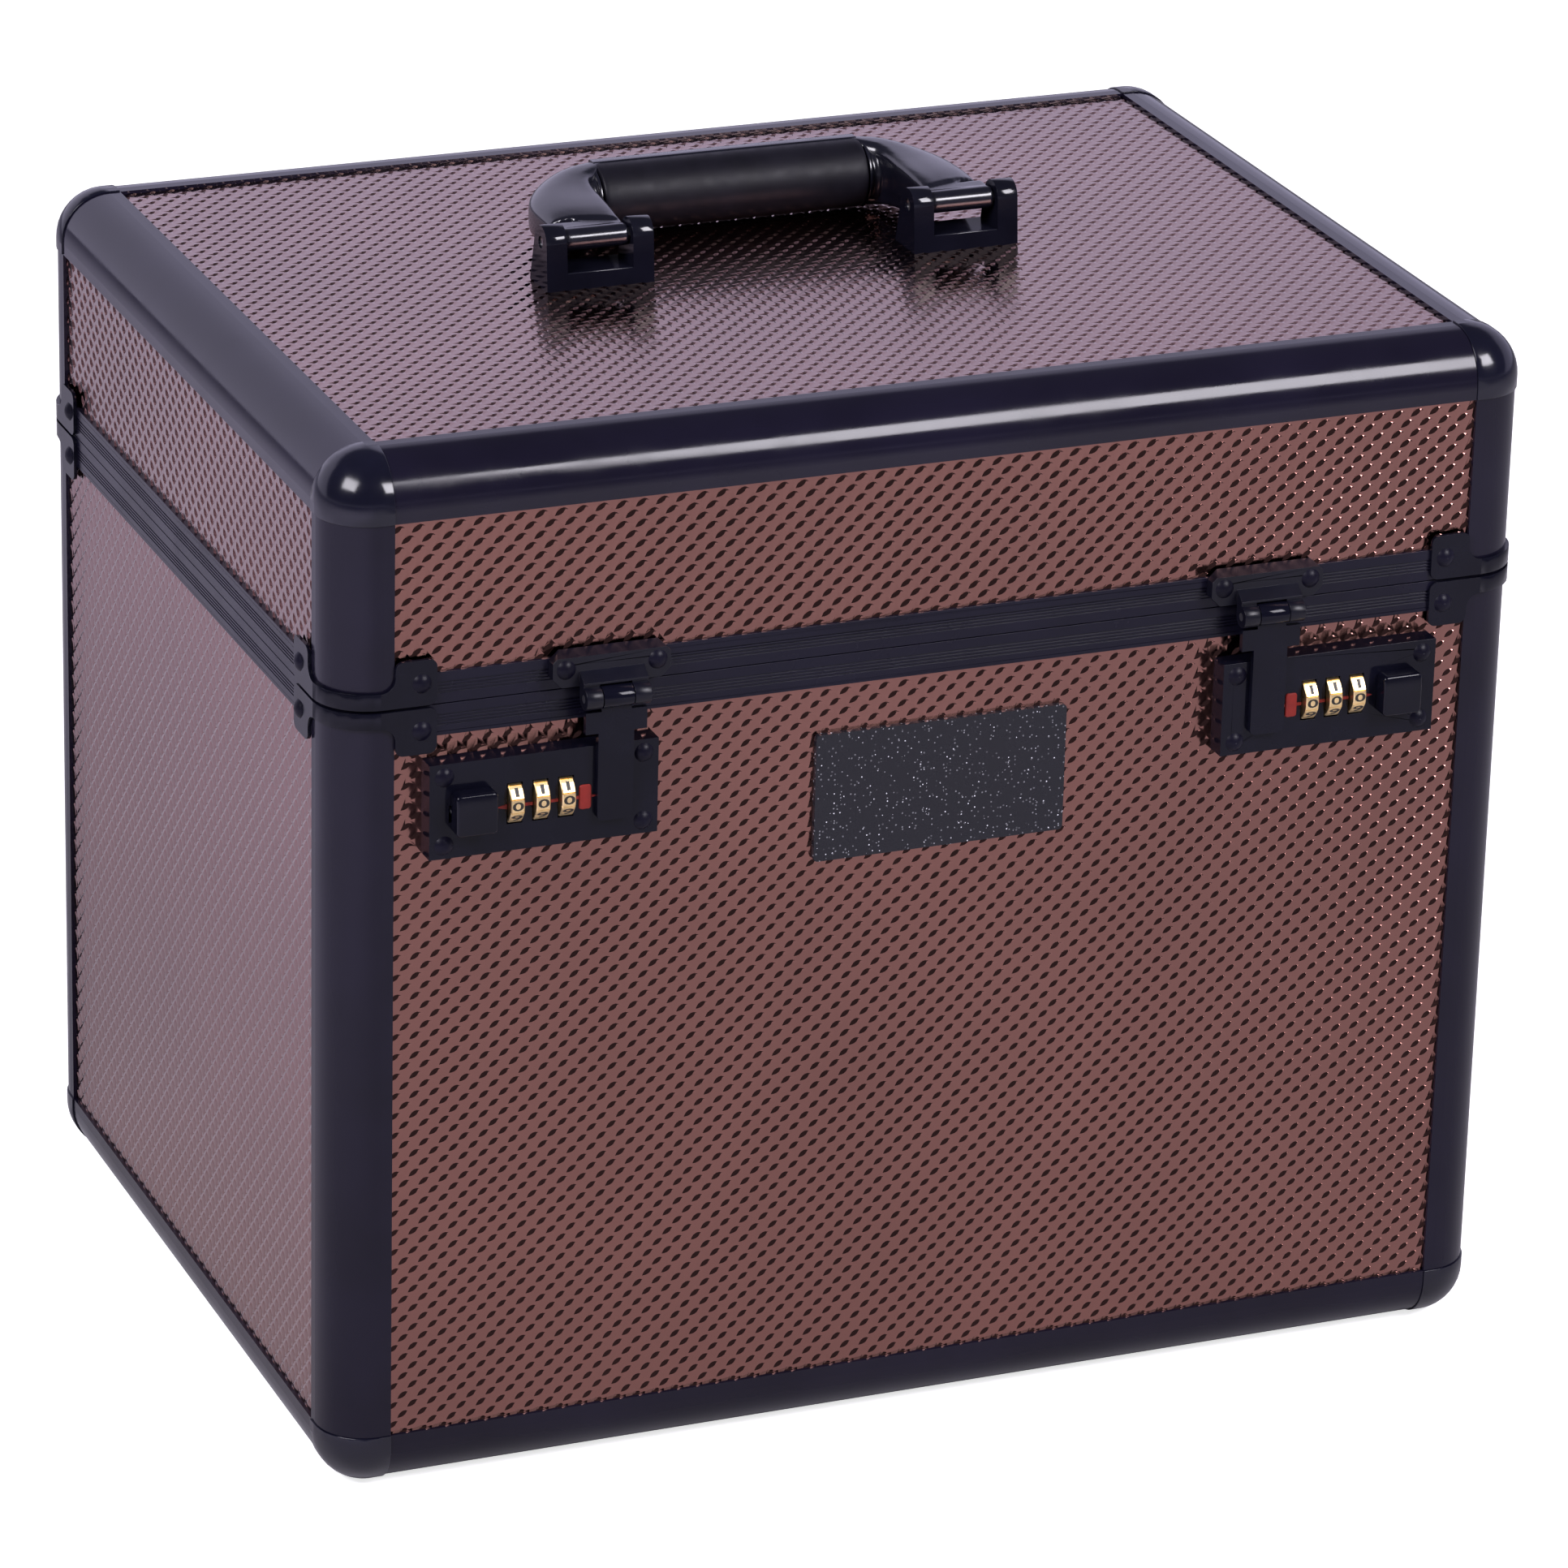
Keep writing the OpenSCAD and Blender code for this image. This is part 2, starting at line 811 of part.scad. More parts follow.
// Hasp plate on the lid rim, with the fold and the two barrel ears
module hasp_plate() {
    difference() {
        union() {
            intersection() {
                front_plate(0, hasp_plate_t)
                    translate([0, part_z])
                        plate_outline();
                x_run(-hasp_plate_w / 2, hasp_plate_w / 2)
                    polygon([[-face_y, part_z], [-face_y - hasp_plate_t, part_z],
                             [-face_y - hasp_plate_t, part_z + plate_high - plate_top_slope],
                             [-face_y, part_z + plate_high]]);
            }
            x_run(-barrel_w / 2, barrel_w / 2)
                polygon([[-face_y - hasp_plate_t + cut, part_z + fold_low],
                         [-face_y - fold_out, part_z + fold_low],
                         [-face_y - fold_out, part_z + fold_edge],
                         [-face_y - hasp_plate_t, part_z + fold_top],
                         [-face_y - hasp_plate_t + cut, part_z + fold_top]]);
            for (side = [-1, 1]) {
                ear_x = side * (barrel_w - ear_w) / 2;
                x_rod(ear_x - ear_w / 2, ear_x + ear_w / 2, -face_y - barrel_out, barrel_z, barrel_r);
                block([ear_x - ear_w / 2, -face_y - barrel_out, barrel_z],
                      [ear_x + ear_w / 2, -face_y - barrel_out + barrel_r, part_z + fold_low]);
            }
        }
        x_rod(-barrel_w / 2 - cut, barrel_w / 2 + cut, -face_y - barrel_out, barrel_z,
              hasp_pin_r + still_fit);
        for (side = [-1, 1])
            front_rod(side * hasp_rivet_dx, part_z + hasp_rivet_up, -cut, hasp_plate_t + cut,
                      shank_r + still_fit);
    }
}

// Eight-sided outline of the hasp plate, height from the parting line
module plate_outline() {
    w = hasp_plate_w / 2;
    c = plate_chamfer;
    polygon([[-w, plate_low + c], [-w + c, plate_low], [w - c, plate_low], [w, plate_low + c],
             [w, plate_high - c], [w - c, plate_high], [-w + c, plate_high], [-w, plate_high - c]]);
}

// Swinging hasp: knuckle, leaf, tongue and the staple that enters the lock
module hasp(right) {
    half = barrel_w / 2 - ear_w - knuckle_side;
    back = lock_out + rest_gap;
    inward = right ? -1 : 1;
    difference() {
        at_hasp(right)
            union() {
                x_rod(-half, half, -face_y - barrel_out, barrel_z, barrel_r);
                front_plate(back, back + tongue_t)
                    hasp_outline(half);
            }
        at_hasp(right)
            x_rod(-half - cut, half + cut, -face_y - barrel_out, barrel_z, hasp_pin_r + run_fit);
    }
    at_lock(right)
        difference() {
            staple_block(0, staple_h / 2);
            block([hasp_in - staple_t, -face_y - bolt_face - eye_gap, nose_z - eye_gap],
                  [hasp_in + staple_t, -face_y - bolt_face + bolt_t + eye_gap,
                   nose_z + bolt_nose_h + eye_gap]);
        }
}

// Outline of the hasp leaf and tongue
module hasp_outline(half) {
    translate([-half, part_z - leaf_top])
        square([2 * half, barrel_z - part_z + leaf_top - hasp_pin_r - run_fit]);
    translate([-leaf_w / 2, part_z - leaf_bottom])
        square([leaf_w, leaf_bottom - leaf_top]);
    translate([-tongue_w / 2, tongue_end + tongue_corner])
        square([tongue_w, part_z - leaf_bottom - tongue_end - tongue_corner]);
    translate([-tongue_w / 2 + tongue_corner, tongue_end])
        square([tongue_w - 2 * tongue_corner, tongue_corner]);
    for (side = [-1, 1])
        translate([side * (tongue_w / 2 - tongue_corner), tongue_end + tongue_corner])
            circle(tongue_corner);
}

// Point where a line from a foot of the ears touches their round top
function ear_touch(foot, side) =
    let (turn = atan2(foot[1], foot[0]) + side * acos(ear_r / norm(foot)))
    [ear_r * cos(turn), ear_r * sin(turn)];

// Side view of a handle base, round its pivot
module ear_profile() {
    front_foot = [-base_front, -pivot_up];
    back_foot = [base_back, -pivot_up];
    polygon([front_foot, back_foot, ear_touch(back_foot, 1), [0, 0], ear_touch(front_foot, -1)]);
    polygon([[0, 0], ear_touch(back_foot, 1), [0, ear_r / 2], ear_touch(front_foot, -1)]);
    circle(ear_r);
}

// Handle base with two ears and a thick floor between them, on the right
module handle_base() {
    half = base_w / 2;
    translate([handle_x, pivot_y, pivot_z])
        difference() {
            union() {
                for (side = [-1, 1])
                    x_run(side * (half - ear_t / 2) - ear_t / 2, side * (half - ear_t / 2) + ear_t / 2)
                        ear_profile();
                x_run(-half + ear_t / 2, half - ear_t / 2)
                    intersection() {
                        ear_profile();
                        translate([-base_front, -pivot_up])
                            square([base_front + base_back, base_floor_t]);
                    }
            }
            x_rod(-half - cut, half + cut, 0, 0, handle_pin_r + still_fit);
            for (side = [-1, 1])
                translate([side * (half - ear_t / 2), screw_y, -pivot_up - cut])
                    cylinder(h = screw_depth + cut, r = screw_r + still_fit);
        }
}

// Screws of one base, up through the top panel, and the room for them
module handle_screw_set(spare, head_spare, up) {
    for (side = [-1, 1])
        translate([handle_x + side * (base_w / 2 - ear_t / 2), pivot_y + screw_y, 0]) {
            translate([0, 0, roof_z - panel_back])
                cylinder(h = panel_t + up, r = screw_r + spare);
            translate([0, 0, roof_z - panel_back - screw_head_h - head_spare])
                cylinder(h = screw_head_h + head_spare, r = screw_head_r + head_spare);
        }
}

// Points of a rounded corner from the outermost side of the arm to the far side
function corner_points(side_pt, far_pt) =
    [for (i = [0 : curve_steps])
        let (turn = 90 * i / curve_steps)
        [far_pt[0] + (side_pt[0] - far_pt[0]) * cos(turn),
         side_pt[1] + (far_pt[1] - side_pt[1]) * sin(turn)]];

// Plan of the right arm of the bail, round the pivot
module arm_plan() {
    inner = handle_x - knuckle_w / 2;
    outer = handle_x + knuckle_w / 2;
    polygon(concat(
        [[inner, arm_start], [outer, arm_start]],
        corner_points([outer + arm_bulge, grip_reach * bulge_at_share], [collar_at, grip_reach + arm_far]),
        [[collar_at, grip_reach - arm_near]],
        [[inner - arm_waist, grip_reach * waist_at_share]]));
}

// What a slope takes off the top of an arm that ends at a given place
module arm_slope(end, w, h) {
    polygon([[end - w, arm_up], [end, arm_up - h], [end + cut, arm_up - h], [end + cut, arm_up + cut],
             [end - w, arm_up + cut]]);
}

// Flat of the right arm, its top falling away to the outer and the far side
module arm_flat() {
    outer = handle_x + knuckle_w / 2 + arm_bulge;
    far = grip_reach + arm_far;
    difference() {
        translate([0, 0, -arm_down])
            linear_extrude(arm_down + arm_up)
                arm_plan();
        translate([0, far + cut, 0])
            rotate([90, 0, 0])
                linear_extrude(far + 2 * cut)
                    arm_slope(outer, side_slope_w, side_slope_h);
        translate([collar_at - cut, 0, 0])
            rotate([90, 0, 90])
                linear_extrude(outer - collar_at + 2 * cut)
                    arm_slope(far, far_slope_w, far_slope_h);
    }
}

// Round elbow between the grip's end and the right arm
module arm_elbow() {
    outer = handle_x + knuckle_w / 2 + arm_bulge;
    intersection() {
        x_rod(collar_at, outer, grip_reach, -grip_drop, collar_r);
        translate([0, 0, -grip_drop - collar_r])
            linear_extrude(2 * collar_r)
                arm_plan();
    }
}

// Moulded bail: knuckles, necks, arms, collars and the core of the grip, folded back
module bail() {
    translate([0, pivot_y, pivot_z])
        difference() {
            union() {
                left_and_right()
                    bail_arm();
                x_rod(-collar_at, collar_at, grip_reach, -grip_drop, core_r);
            }
            for (side = [-1, 1])
                x_rod(side * handle_x - base_w / 2, side * handle_x + base_w / 2, 0, 0,
                      handle_pin_r + run_fit);
        }
}

module bail_arm() {
    inner = handle_x - knuckle_w / 2;
    outer = handle_x + knuckle_w / 2;
    x_rod(inner, outer, 0, 0, knuckle_r);
    block([inner, 0, -knuckle_r + side_gap], [outer, arm_start + cut, knuckle_r - side_gap]);
    arm_flat();
    arm_elbow();
    x_rod(collar_at, collar_at + collar_w, grip_reach, -grip_drop, collar_r);
}

// Hinge at the back: x range of one knuckle, and whether it belongs to the lid
function knuckle_x(i) = -hinge_w / 2 + i * hinge_knuckle_w;
function on_lid(i) = i % 2 == 1;

module hinge_knuckles(lid, spare, fit) {
    for (i = [0 : knuckle_count - 1])
        if (on_lid(i) == lid)
            x_rod(knuckle_x(i) + hinge_gap / 2 - spare, knuckle_x(i + 1) - hinge_gap / 2 + spare,
                  -face_y - hinge_out, part_z, hinge_r + fit);
}

// One hinge leaf above the parting line, drawn on the front face and turned to the back by its user
module hinge_leaf(lid, fit) {
    difference() {
        union() {
            difference() {
                union() {
                    front_plate(0, hinge_t)
                        translate([-hinge_w / 2, part_z + hinge_edge])
                            square([hinge_w, hinge_leaf_h - hinge_edge]);
                    front_plate(-lip_t, 0)
                        translate([-hinge_w / 2, part_z + rim_h + still_fit])
                            square([hinge_w, hinge_leaf_h - rim_h - still_fit]);
                }
                for (i = [0 : knuckle_count - 1])
                    if (on_lid(i) != lid)
                        block([knuckle_x(i) - hinge_gap / 2, -face_y - hinge_t - cut, part_z - cut],
                              [knuckle_x(i + 1) + hinge_gap / 2, -face_y, part_z + hinge_r + side_gap]);
            }
            hinge_knuckles(lid, 0, 0);
        }
        x_rod(-hinge_w / 2 - cut, hinge_w / 2 + cut, -face_y - hinge_out, part_z, hinge_pin_r + fit);
        hinge_rivet_holes(-lip_t - cut, hinge_t + cut);
    }
}

module hinge_rivet_holes(o0, o1) {
    for (side = [-1, 1])
        front_rod(side * hinge_rivet_dx, part_z + hinge_rivet_up, o0, o1, shank_r + still_fit);
}

// Both hinges, turned to the back
module at_hinges() {
    for (side = [-1, 1])
        mirror([0, 1, 0])
            translate([side * hinge_x, 0, 0])
                children();
}

module hinge_rivets() {
    at_hinges()
        for (side = [-1, 1])
            front_rivet(side * hinge_rivet_dx, part_z + hinge_rivet_up, -panel_back, hinge_t);
}

// Places of the panels: the four walls run from z0 to z1
module front_wall(z0, z1) {
    block([-face_x + slot_at, -face_y + lip_t, z0], [face_x - slot_at, -face_y + panel_back, z1]);
}

module left_wall(z0, z1) {
    block([-face_x + lip_t, -face_y + slot_at, z0], [-face_x + panel_back, face_y - slot_at, z1]);
}

module flat_sheet(z0, z1, margin) {
    block([-face_x + margin, -face_y + margin, z0], [face_x - margin, face_y - margin, z1]);
}

body_wall_low = floor_z + slot_at;
body_wall_high = part_z - half_gap - rim_web;
lid_wall_low = part_z + half_gap + rim_web;
lid_wall_high = roof_z - slot_at;

// Body panels
module base_panel() color("#5b4540")
    flat_sheet(floor_z + lip_t, floor_z + panel_back, slot_at);

module front_panel() color("#7a5552")
    difference() {
        front_wall(body_wall_low, body_wall_high);
        lock_holes();
    }

module back_panel() color("#7a5552")
    difference() {
        mirror([0, 1, 0])
            front_wall(body_wall_low, body_wall_high);
        below_parting()
            at_hinges()
                hinge_rivet_holes(-panel_back - cut, cut);
    }

module left_panel() color("#87707a")
    left_wall(body_wall_low, body_wall_high);

module right_panel() color("#87707a")
    mirror([1, 0, 0])
        left_wall(body_wall_low, body_wall_high);

// Edge frame of the body
module body_corner_posts() color("#23232d")
    at_corners()
        translate([-face_x, -face_y, floor_z + flange])
            linear_extrude(part_z - half_gap - floor_z - flange)
                rail_section();

module base_rails() color("#23232d")
    translate([0, 0, floor_z])
        rail_ring();

module base_corner_caps() color("#15151a")
    at_corners()
        translate([-face_x, -face_y, floor_z])
            corner_cap();

module body_rim() color("#23232d")
    difference() {
        union() {
            rim_ring(0)
                body_rim_section(false);
            rim_ring(upstand_end_gap)
                body_rim_section(true);
        }
        bracket_rivet_holes(-1);
    }

module body_rim_brackets() color("#1c1c22")
    below_parting()
        at_corners()
            corner_bracket();

module body_bracket_rivets() color("#18181c")
    below_parting()
        bracket_rivets();

// Lining: four walls and a floor inside the body
module body_lining() color("#2b2b2f")
    difference() {
        union() {
            front_and_back()
                block([-face_x + flange, -face_y + panel_back, floor_z + flange],
                      [face_x - flange, -face_y + lining_face, part_z - rim_h]);
            left_and_right()
                block([-face_x + panel_back, -face_y + flange, floor_z + flange],
                      [-face_x + lining_face, face_y - flange, part_z - rim_h]);
            flat_sheet(floor_z + panel_back, floor_z + lining_face, flange);
        }
        for (right = [false, true])
            at_lock(right)
                back_plate_room();
        below_parting()
            at_hinges()
                hinge_rivet_holes(-lining_face - cut, cut);
    }

// Space of a lock's back plate in the lining
module back_plate_room() {
    block([-lock_w / 2, -face_y + panel_back - cut, -lock_h / 2],
          [lock_w / 2, -face_y + lining_face + cut, lock_h / 2]);
}

module tray_ledges() color("#3a3a3e")
    left_and_right()
        block([-face_x + lining_face, -tray_half_y + ledge_margin, ledge_top - ledge_h],
              [-face_x + lining_face + ledge_w, tray_half_y - ledge_margin, ledge_top]);

module badge_plate() color("#2a2a33")
    front_plate(-lip_t, badge_t - lip_t)
        translate([0, badge_z])
            round_rect(badge_w, badge_h, badge_corner);

// Locks
module left_lock_case() color("#1e1e25")
    at_lock(false)
        lock_case();

module right_lock_case() color("#1e1e25")
    at_lock(true)
        lock_case();

module lock_back_plates() color("#9a9aa0")
    for (right = [false, true])
        at_lock(right)
            difference() {
                front_plate(-panel_back - back_plate_t, -panel_back)
                    square([lock_w - 2 * back_plate_margin, lock_h - 2 * back_plate_margin], center = true);
                lock_rivet_holes(-panel_back - back_plate_t - cut, -panel_back + cut);
            }

module lock_rivets() color("#18181c")
    for (right = [false, true], sx = [-1, 1], sz = [-1, 1])
        at_lock(right) {
            front_rivet(sx * lock_rivet_dx, sz * lock_rivet_dz, -panel_back - back_plate_t, lock_out);
            front_rod(sx * lock_rivet_dx, sz * lock_rivet_dz, -panel_back - back_plate_t - rivet_tail_h,
                      -panel_back - back_plate_t, rivet_tail_r);
        }

module lock_markers() color("#a82a22")
    for (right = [false, true])
        at_lock(right)
            lock_marker();

module dial_axles() color("#b8b8bc")
    for (right = [false, true])
        at_lock(right)
            x_rod(dial_shift - cheek_at - cheek_t, dial_shift + cheek_at + cheek_t,
                  -face_y - dial_out, dial_lift, axle_r);

module left_lock_spring() color("#b8b8bc")
    at_lock(false)
        lock_spring();

module right_lock_spring() color("#b8b8bc")
    at_lock(true)
        lock_spring();

module left_lock_button() color("#17171b")
    at_lock(false)
        lock_button();

module right_lock_button() color("#17171b")
    at_lock(true)
        lock_button();

module dial_of(right, index) color("#c9a85a")
    at_lock(right)
        dial(index);

// Hinges
module hinge_body_leaves() color("#1c1c22")
    at_hinges()
        below_parting()
            hinge_leaf(false, still_fit);

module hinge_pins() color("#b8b8bc")
    at_hinges()
        x_rod(-hinge_w / 2, hinge_w / 2, -face_y - hinge_out, part_z, hinge_pin_r);

module hinge_body_rivets() color("#18181c")
    below_parting()
        hinge_rivets();

module hinge_lid_leaves() color("#1c1c22")
    at_hinges()
        hinge_leaf(true, run_fit);

module hinge_lid_rivets() color("#18181c")
    hinge_rivets();

// Lid panels
module top_panel() color("#967d8c")
    difference() {
        flat_sheet(roof_z - panel_back, roof_z - lip_t, slot_at);
        left_and_right()
            handle_screw_set(still_fit, cut, cut);
    }

module lid_front_panel() color("#7a5552")
    front_wall(lid_wall_low, lid_wall_high);

module lid_back_panel() color("#7a5552")
    difference() {
        mirror([0, 1, 0])
            front_wall(lid_wall_low, lid_wall_high);
        at_hinges()
            hinge_rivet_holes(-panel_back - cut, cut);
    }

module lid_left_panel() color("#87707a")
    left_wall(lid_wall_low, lid_wall_high);

module lid_right_panel() color("#87707a")
    mirror([1, 0, 0])
        left_wall(lid_wall_low, lid_wall_high);

// Edge frame of the lid
module lid_corner_posts() color("#23232d")
    at_corners()
        translate([-face_x, -face_y, part_z + half_gap])
            linear_extrude(lid_h - half_gap - flange)
                rail_section();

module lid_rails() color("#23232d")
    translate([0, 0, roof_z])
        mirror([0, 0, 1])
            rail_ring();

module lid_corner_caps() color("#15151a")
    at_corners()
        translate([-face_x, -face_y, roof_z])
            mirror([0, 0, 1])
                corner_cap();

module lid_rim() color("#23232d")
    difference() {
        rim_ring(0)
            lid_rim_section();
        bracket_rivet_holes(1);
        for (right = [false, true], side = [-1, 1])
            at_hasp(right)
                front_rod(side * hasp_rivet_dx, part_z + hasp_rivet_up, -lip_t - cut, cut,
                          shank_r + still_fit);
    }

module lid_rim_brackets() color("#1c1c22")
    at_corners()
        corner_bracket();

module lid_bracket_rivets() color("#18181c")
    bracket_rivets();

module lid_lining() color("#2b2b2f")
    difference() {
        union() {
            front_and_back()
                block([-face_x + flange, -face_y + panel_back, part_z + upstand_h + lid_lining_gap],
                      [face_x - flange, -face_y + lining_face, roof_z - flange]);
            left_and_right()
                block([-face_x + panel_back, -face_y + flange, part_z + upstand_h + lid_lining_gap],
                      [-face_x + lining_face, face_y - flange, roof_z - flange]);
            flat_sheet(roof_z - lining_face, roof_z - panel_back, flange);
        }
        left_and_right()
            handle_screw_set(still_fit, screw_head_room, cut);
        at_hinges()
            hinge_rivet_holes(-lining_face - cut, cut);
    }

// Handle
module handle_bases() color("#15151a")
    left_and_right()
        handle_base();

module handle_pins() color("#2a2a2e")
    left_and_right()
        x_rod(handle_x - base_w / 2 + pin_recess, handle_x + base_w / 2 - pin_recess, pivot_y, pivot_z,
              handle_pin_r);

module handle_screws() color("#9a9aa0")
    left_and_right()
        handle_screw_set(0, 0, screw_depth - screw_head_room);

module handle_bail() color("#1a1a1f")
    bail();

module handle_grip() color("#26262b")
    translate([0, pivot_y, pivot_z])
        difference() {
            x_rod(-grip_len / 2, grip_len / 2, grip_reach, -grip_drop, grip_r);
            x_rod(-grip_len / 2 - cut, grip_len / 2 + cut, grip_reach, -grip_drop, core_r + still_fit);
        }

// Hasps
module hasp_plates() color("#1c1c22")
    for (right = [false, true])
        at_hasp(right)
            hasp_plate();

module hasp_pins() color("#3a3a40")
    for (right = [false, true])
        at_hasp(right)
            x_rod(-barrel_w / 2, barrel_w / 2, -face_y - barrel_out, barrel_z, hasp_pin_r);

module hasp_rivets() color("#18181c")
    for (right = [false, true], side = [-1, 1])
        at_hasp(right)
            front_rivet(side * hasp_rivet_dx, part_z + hasp_rivet_up, -lip_t, hasp_plate_t);

module left_hasp() color("#1a1a20")
    hasp(false);

module right_hasp() color("#1a1a20")
    hasp(true);

// Lift-out tray, open at the top, and its dividers
module tray() color("#1f1f22")
    difference() {
        translate([0, 0, tray_bottom])
            linear_extrude(tray_h)
                round_rect(2 * tray_half_x, 2 * tray_half_y, tray_corner);
        translate([0, 0, tray_bottom + tray_wall])
            linear_extrude(tray_h)
                round_rect(2 * (tray_half_x - tray_wall), 2 * (tray_half_y - tray_wall),
                           tray_corner - tray_wall);
    }

module tray_dividers() color("#2a2a2d") {
    in_x = tray_half_x - tray_wall - divider_gap;
    in_y = tray_half_y - tray_wall - divider_gap;
    row_y = tray_half_y * divider_row_share;
    low = tray_bottom + tray_wall;
    high = tray_top - divider_down;
    block([-in_x, row_y, low], [in_x, row_y + divider_t, high]);
    for (share = divider_col_shares)
        block([tray_half_x * share - divider_t / 2, -in_y, low],
              [tray_half_x * share + divider_t / 2, in_y, high]);
}

base_panel();
front_panel();
back_panel();
left_panel();
right_panel();
body_corner_posts();
base_rails();
base_corner_caps();
body_rim();
body_rim_brackets();
body_bracket_rivets();
body_lining();
tray_ledges();
badge_plate();
left_lock_case();
right_lock_case();
lock_back_plates();
lock_rivets();
lock_markers();
dial_axles();
left_lock_spring();
right_lock_spring();
hinge_body_leaves();
hinge_pins();
hinge_body_rivets();
top_panel();
lid_front_panel();
lid_back_panel();
lid_left_panel();
lid_right_panel();
lid_corner_posts();
lid_rails();
lid_corner_caps();
lid_rim();
lid_rim_brackets();
lid_bracket_rivets();
lid_lining();
handle_bases();
handle_pins();
handle_screws();
hinge_lid_leaves();
hinge_lid_rivets();
hasp_plates();
hasp_pins();
hasp_rivets();
handle_bail();
handle_grip();
left_hasp();
right_hasp();
left_lock_button();
right_lock_button();
dial_of(false, -1);  // left_dial_1
dial_of(false, 0);  // left_dial_2
dial_of(false, 1);  // left_dial_3
dial_of(true, -1);  // right_dial_1
dial_of(true, 0);  // right_dial_2
dial_of(true, 1);  // right_dial_3
tray();
tray_dividers();
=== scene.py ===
import math

import bmesh
import bpy
import numpy as np
from mathutils import Matrix, Vector


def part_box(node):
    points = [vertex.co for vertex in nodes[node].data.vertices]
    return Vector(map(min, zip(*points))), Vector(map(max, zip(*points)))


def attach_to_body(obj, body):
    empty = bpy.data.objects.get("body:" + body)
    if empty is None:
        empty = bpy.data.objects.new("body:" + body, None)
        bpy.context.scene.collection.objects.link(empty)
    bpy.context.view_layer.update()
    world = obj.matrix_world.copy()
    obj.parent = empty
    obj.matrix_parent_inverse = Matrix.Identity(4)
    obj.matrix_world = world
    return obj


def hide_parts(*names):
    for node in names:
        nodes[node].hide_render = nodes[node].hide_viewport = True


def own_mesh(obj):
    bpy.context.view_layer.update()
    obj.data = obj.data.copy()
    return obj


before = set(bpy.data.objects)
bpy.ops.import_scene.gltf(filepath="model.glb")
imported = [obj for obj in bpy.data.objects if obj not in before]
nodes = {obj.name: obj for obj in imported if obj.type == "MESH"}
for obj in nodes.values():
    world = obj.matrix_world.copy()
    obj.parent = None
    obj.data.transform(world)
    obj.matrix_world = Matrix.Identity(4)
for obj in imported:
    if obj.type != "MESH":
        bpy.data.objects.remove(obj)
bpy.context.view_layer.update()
scene = bpy.context.scene
scene.view_settings.view_transform = "Standard"
MM = 0.001
X, Y, Z = np.eye(3)


# Camera, solved from the straight edges of the case
AZIMUTH, ELEVATION, ROLL = -22.45, 22.294, 1.47
CAMERA_SPOT = (-0.89269, -2.18019, 1.12646)
LENS_MM, SENSOR_MM = 176.42, 36.0


def make_camera():
    az, el, roll = (math.radians(a) for a in (AZIMUTH, ELEVATION, ROLL))
    back = Vector((math.sin(az) * math.cos(el), -math.cos(az) * math.cos(el), math.sin(el)))
    side = Vector((0, 0, 1)).cross(back).normalized()
    up = back.cross(side)
    right = side * math.cos(roll) + up * math.sin(roll)
    top = up * math.cos(roll) - side * math.sin(roll)
    data = bpy.data.cameras.new("camera")
    data.sensor_width = SENSOR_MM
    data.lens = LENS_MM
    data.clip_end = 30.0
    cam = bpy.data.objects.new("camera", data)
    rows = [(right[i], top[i], back[i], CAMERA_SPOT[i]) for i in range(3)]
    cam.matrix_world = Matrix((*rows, (0, 0, 0, 1)))
    scene.collection.objects.link(cam)
    scene.camera = cam


make_camera()


# Materials
def new_material(name):
    mat = bpy.data.materials.new(name)
    mat.use_nodes = True
    return mat, mat.node_tree, mat.node_tree.nodes["Principled BSDF"]


def attach(nt, value, socket):
    """Feed a socket from another socket, or set it to a plain value."""
    if isinstance(value, bpy.types.NodeSocket):
        nt.links.new(value, socket)
    else:
        socket.default_value = value


def maths(nt, operation, *values):
    node = nt.nodes.new("ShaderNodeMath")
    node.operation = operation
    for value, socket in zip(values, node.inputs):
        attach(nt, value, socket)
    return node.outputs[0]


def map_range(nt, value, start, end, low=0.0, high=1.0, interpolation="LINEAR"):
    node = nt.nodes.new("ShaderNodeMapRange")
    node.interpolation_type = interpolation
    for name, given in (("Value", value), ("From Min", start), ("From Max", end), ("To Min", low),
                        ("To Max", high)):
        attach(nt, given, node.inputs[name])
    return node.outputs["Result"]


def mix_color(nt, factor, a, b):
    node = nt.nodes.new("ShaderNodeMix")
    node.data_type = "RGBA"
    for name, given in (("Factor", factor), ("A", a), ("B", b)):
        attach(nt, given, node.inputs[name])
    return node.outputs["Result"]


def axes(nt, kind):
    """X, Y and Z of the object's or the world's own coordinates."""
    node = nt.nodes.new("ShaderNodeSeparateXYZ")
    nt.links.new(nt.nodes.new("ShaderNodeTexCoord").outputs[kind], node.inputs["Vector"])
    return node.outputs


def noise(nt, scale, detail=3.0):
    tex = nt.nodes.new("ShaderNodeTexNoise")
    tex.inputs["Scale"].default_value = scale
    tex.inputs["Detail"].default_value = detail
    nt.links.new(nt.nodes.new("ShaderNodeTexCoord").outputs["Object"], tex.inputs["Vector"])
    return tex.outputs["Fac"]


# Most of a noise texture's values lie in this span
NOISE_LOW, NOISE_HIGH = 0.3, 0.7


def ramp(nt, fac, low, high, start=NOISE_LOW, end=NOISE_HIGH):
    node = nt.nodes.new("ShaderNodeValToRGB")
    for element, place, color in zip(node.color_ramp.elements, (start, end), (low, high)):
        element.position = place
        element.color = (*color, 1)
    nt.links.new(fac, node.inputs["Fac"])
    return node.outputs["Color"]


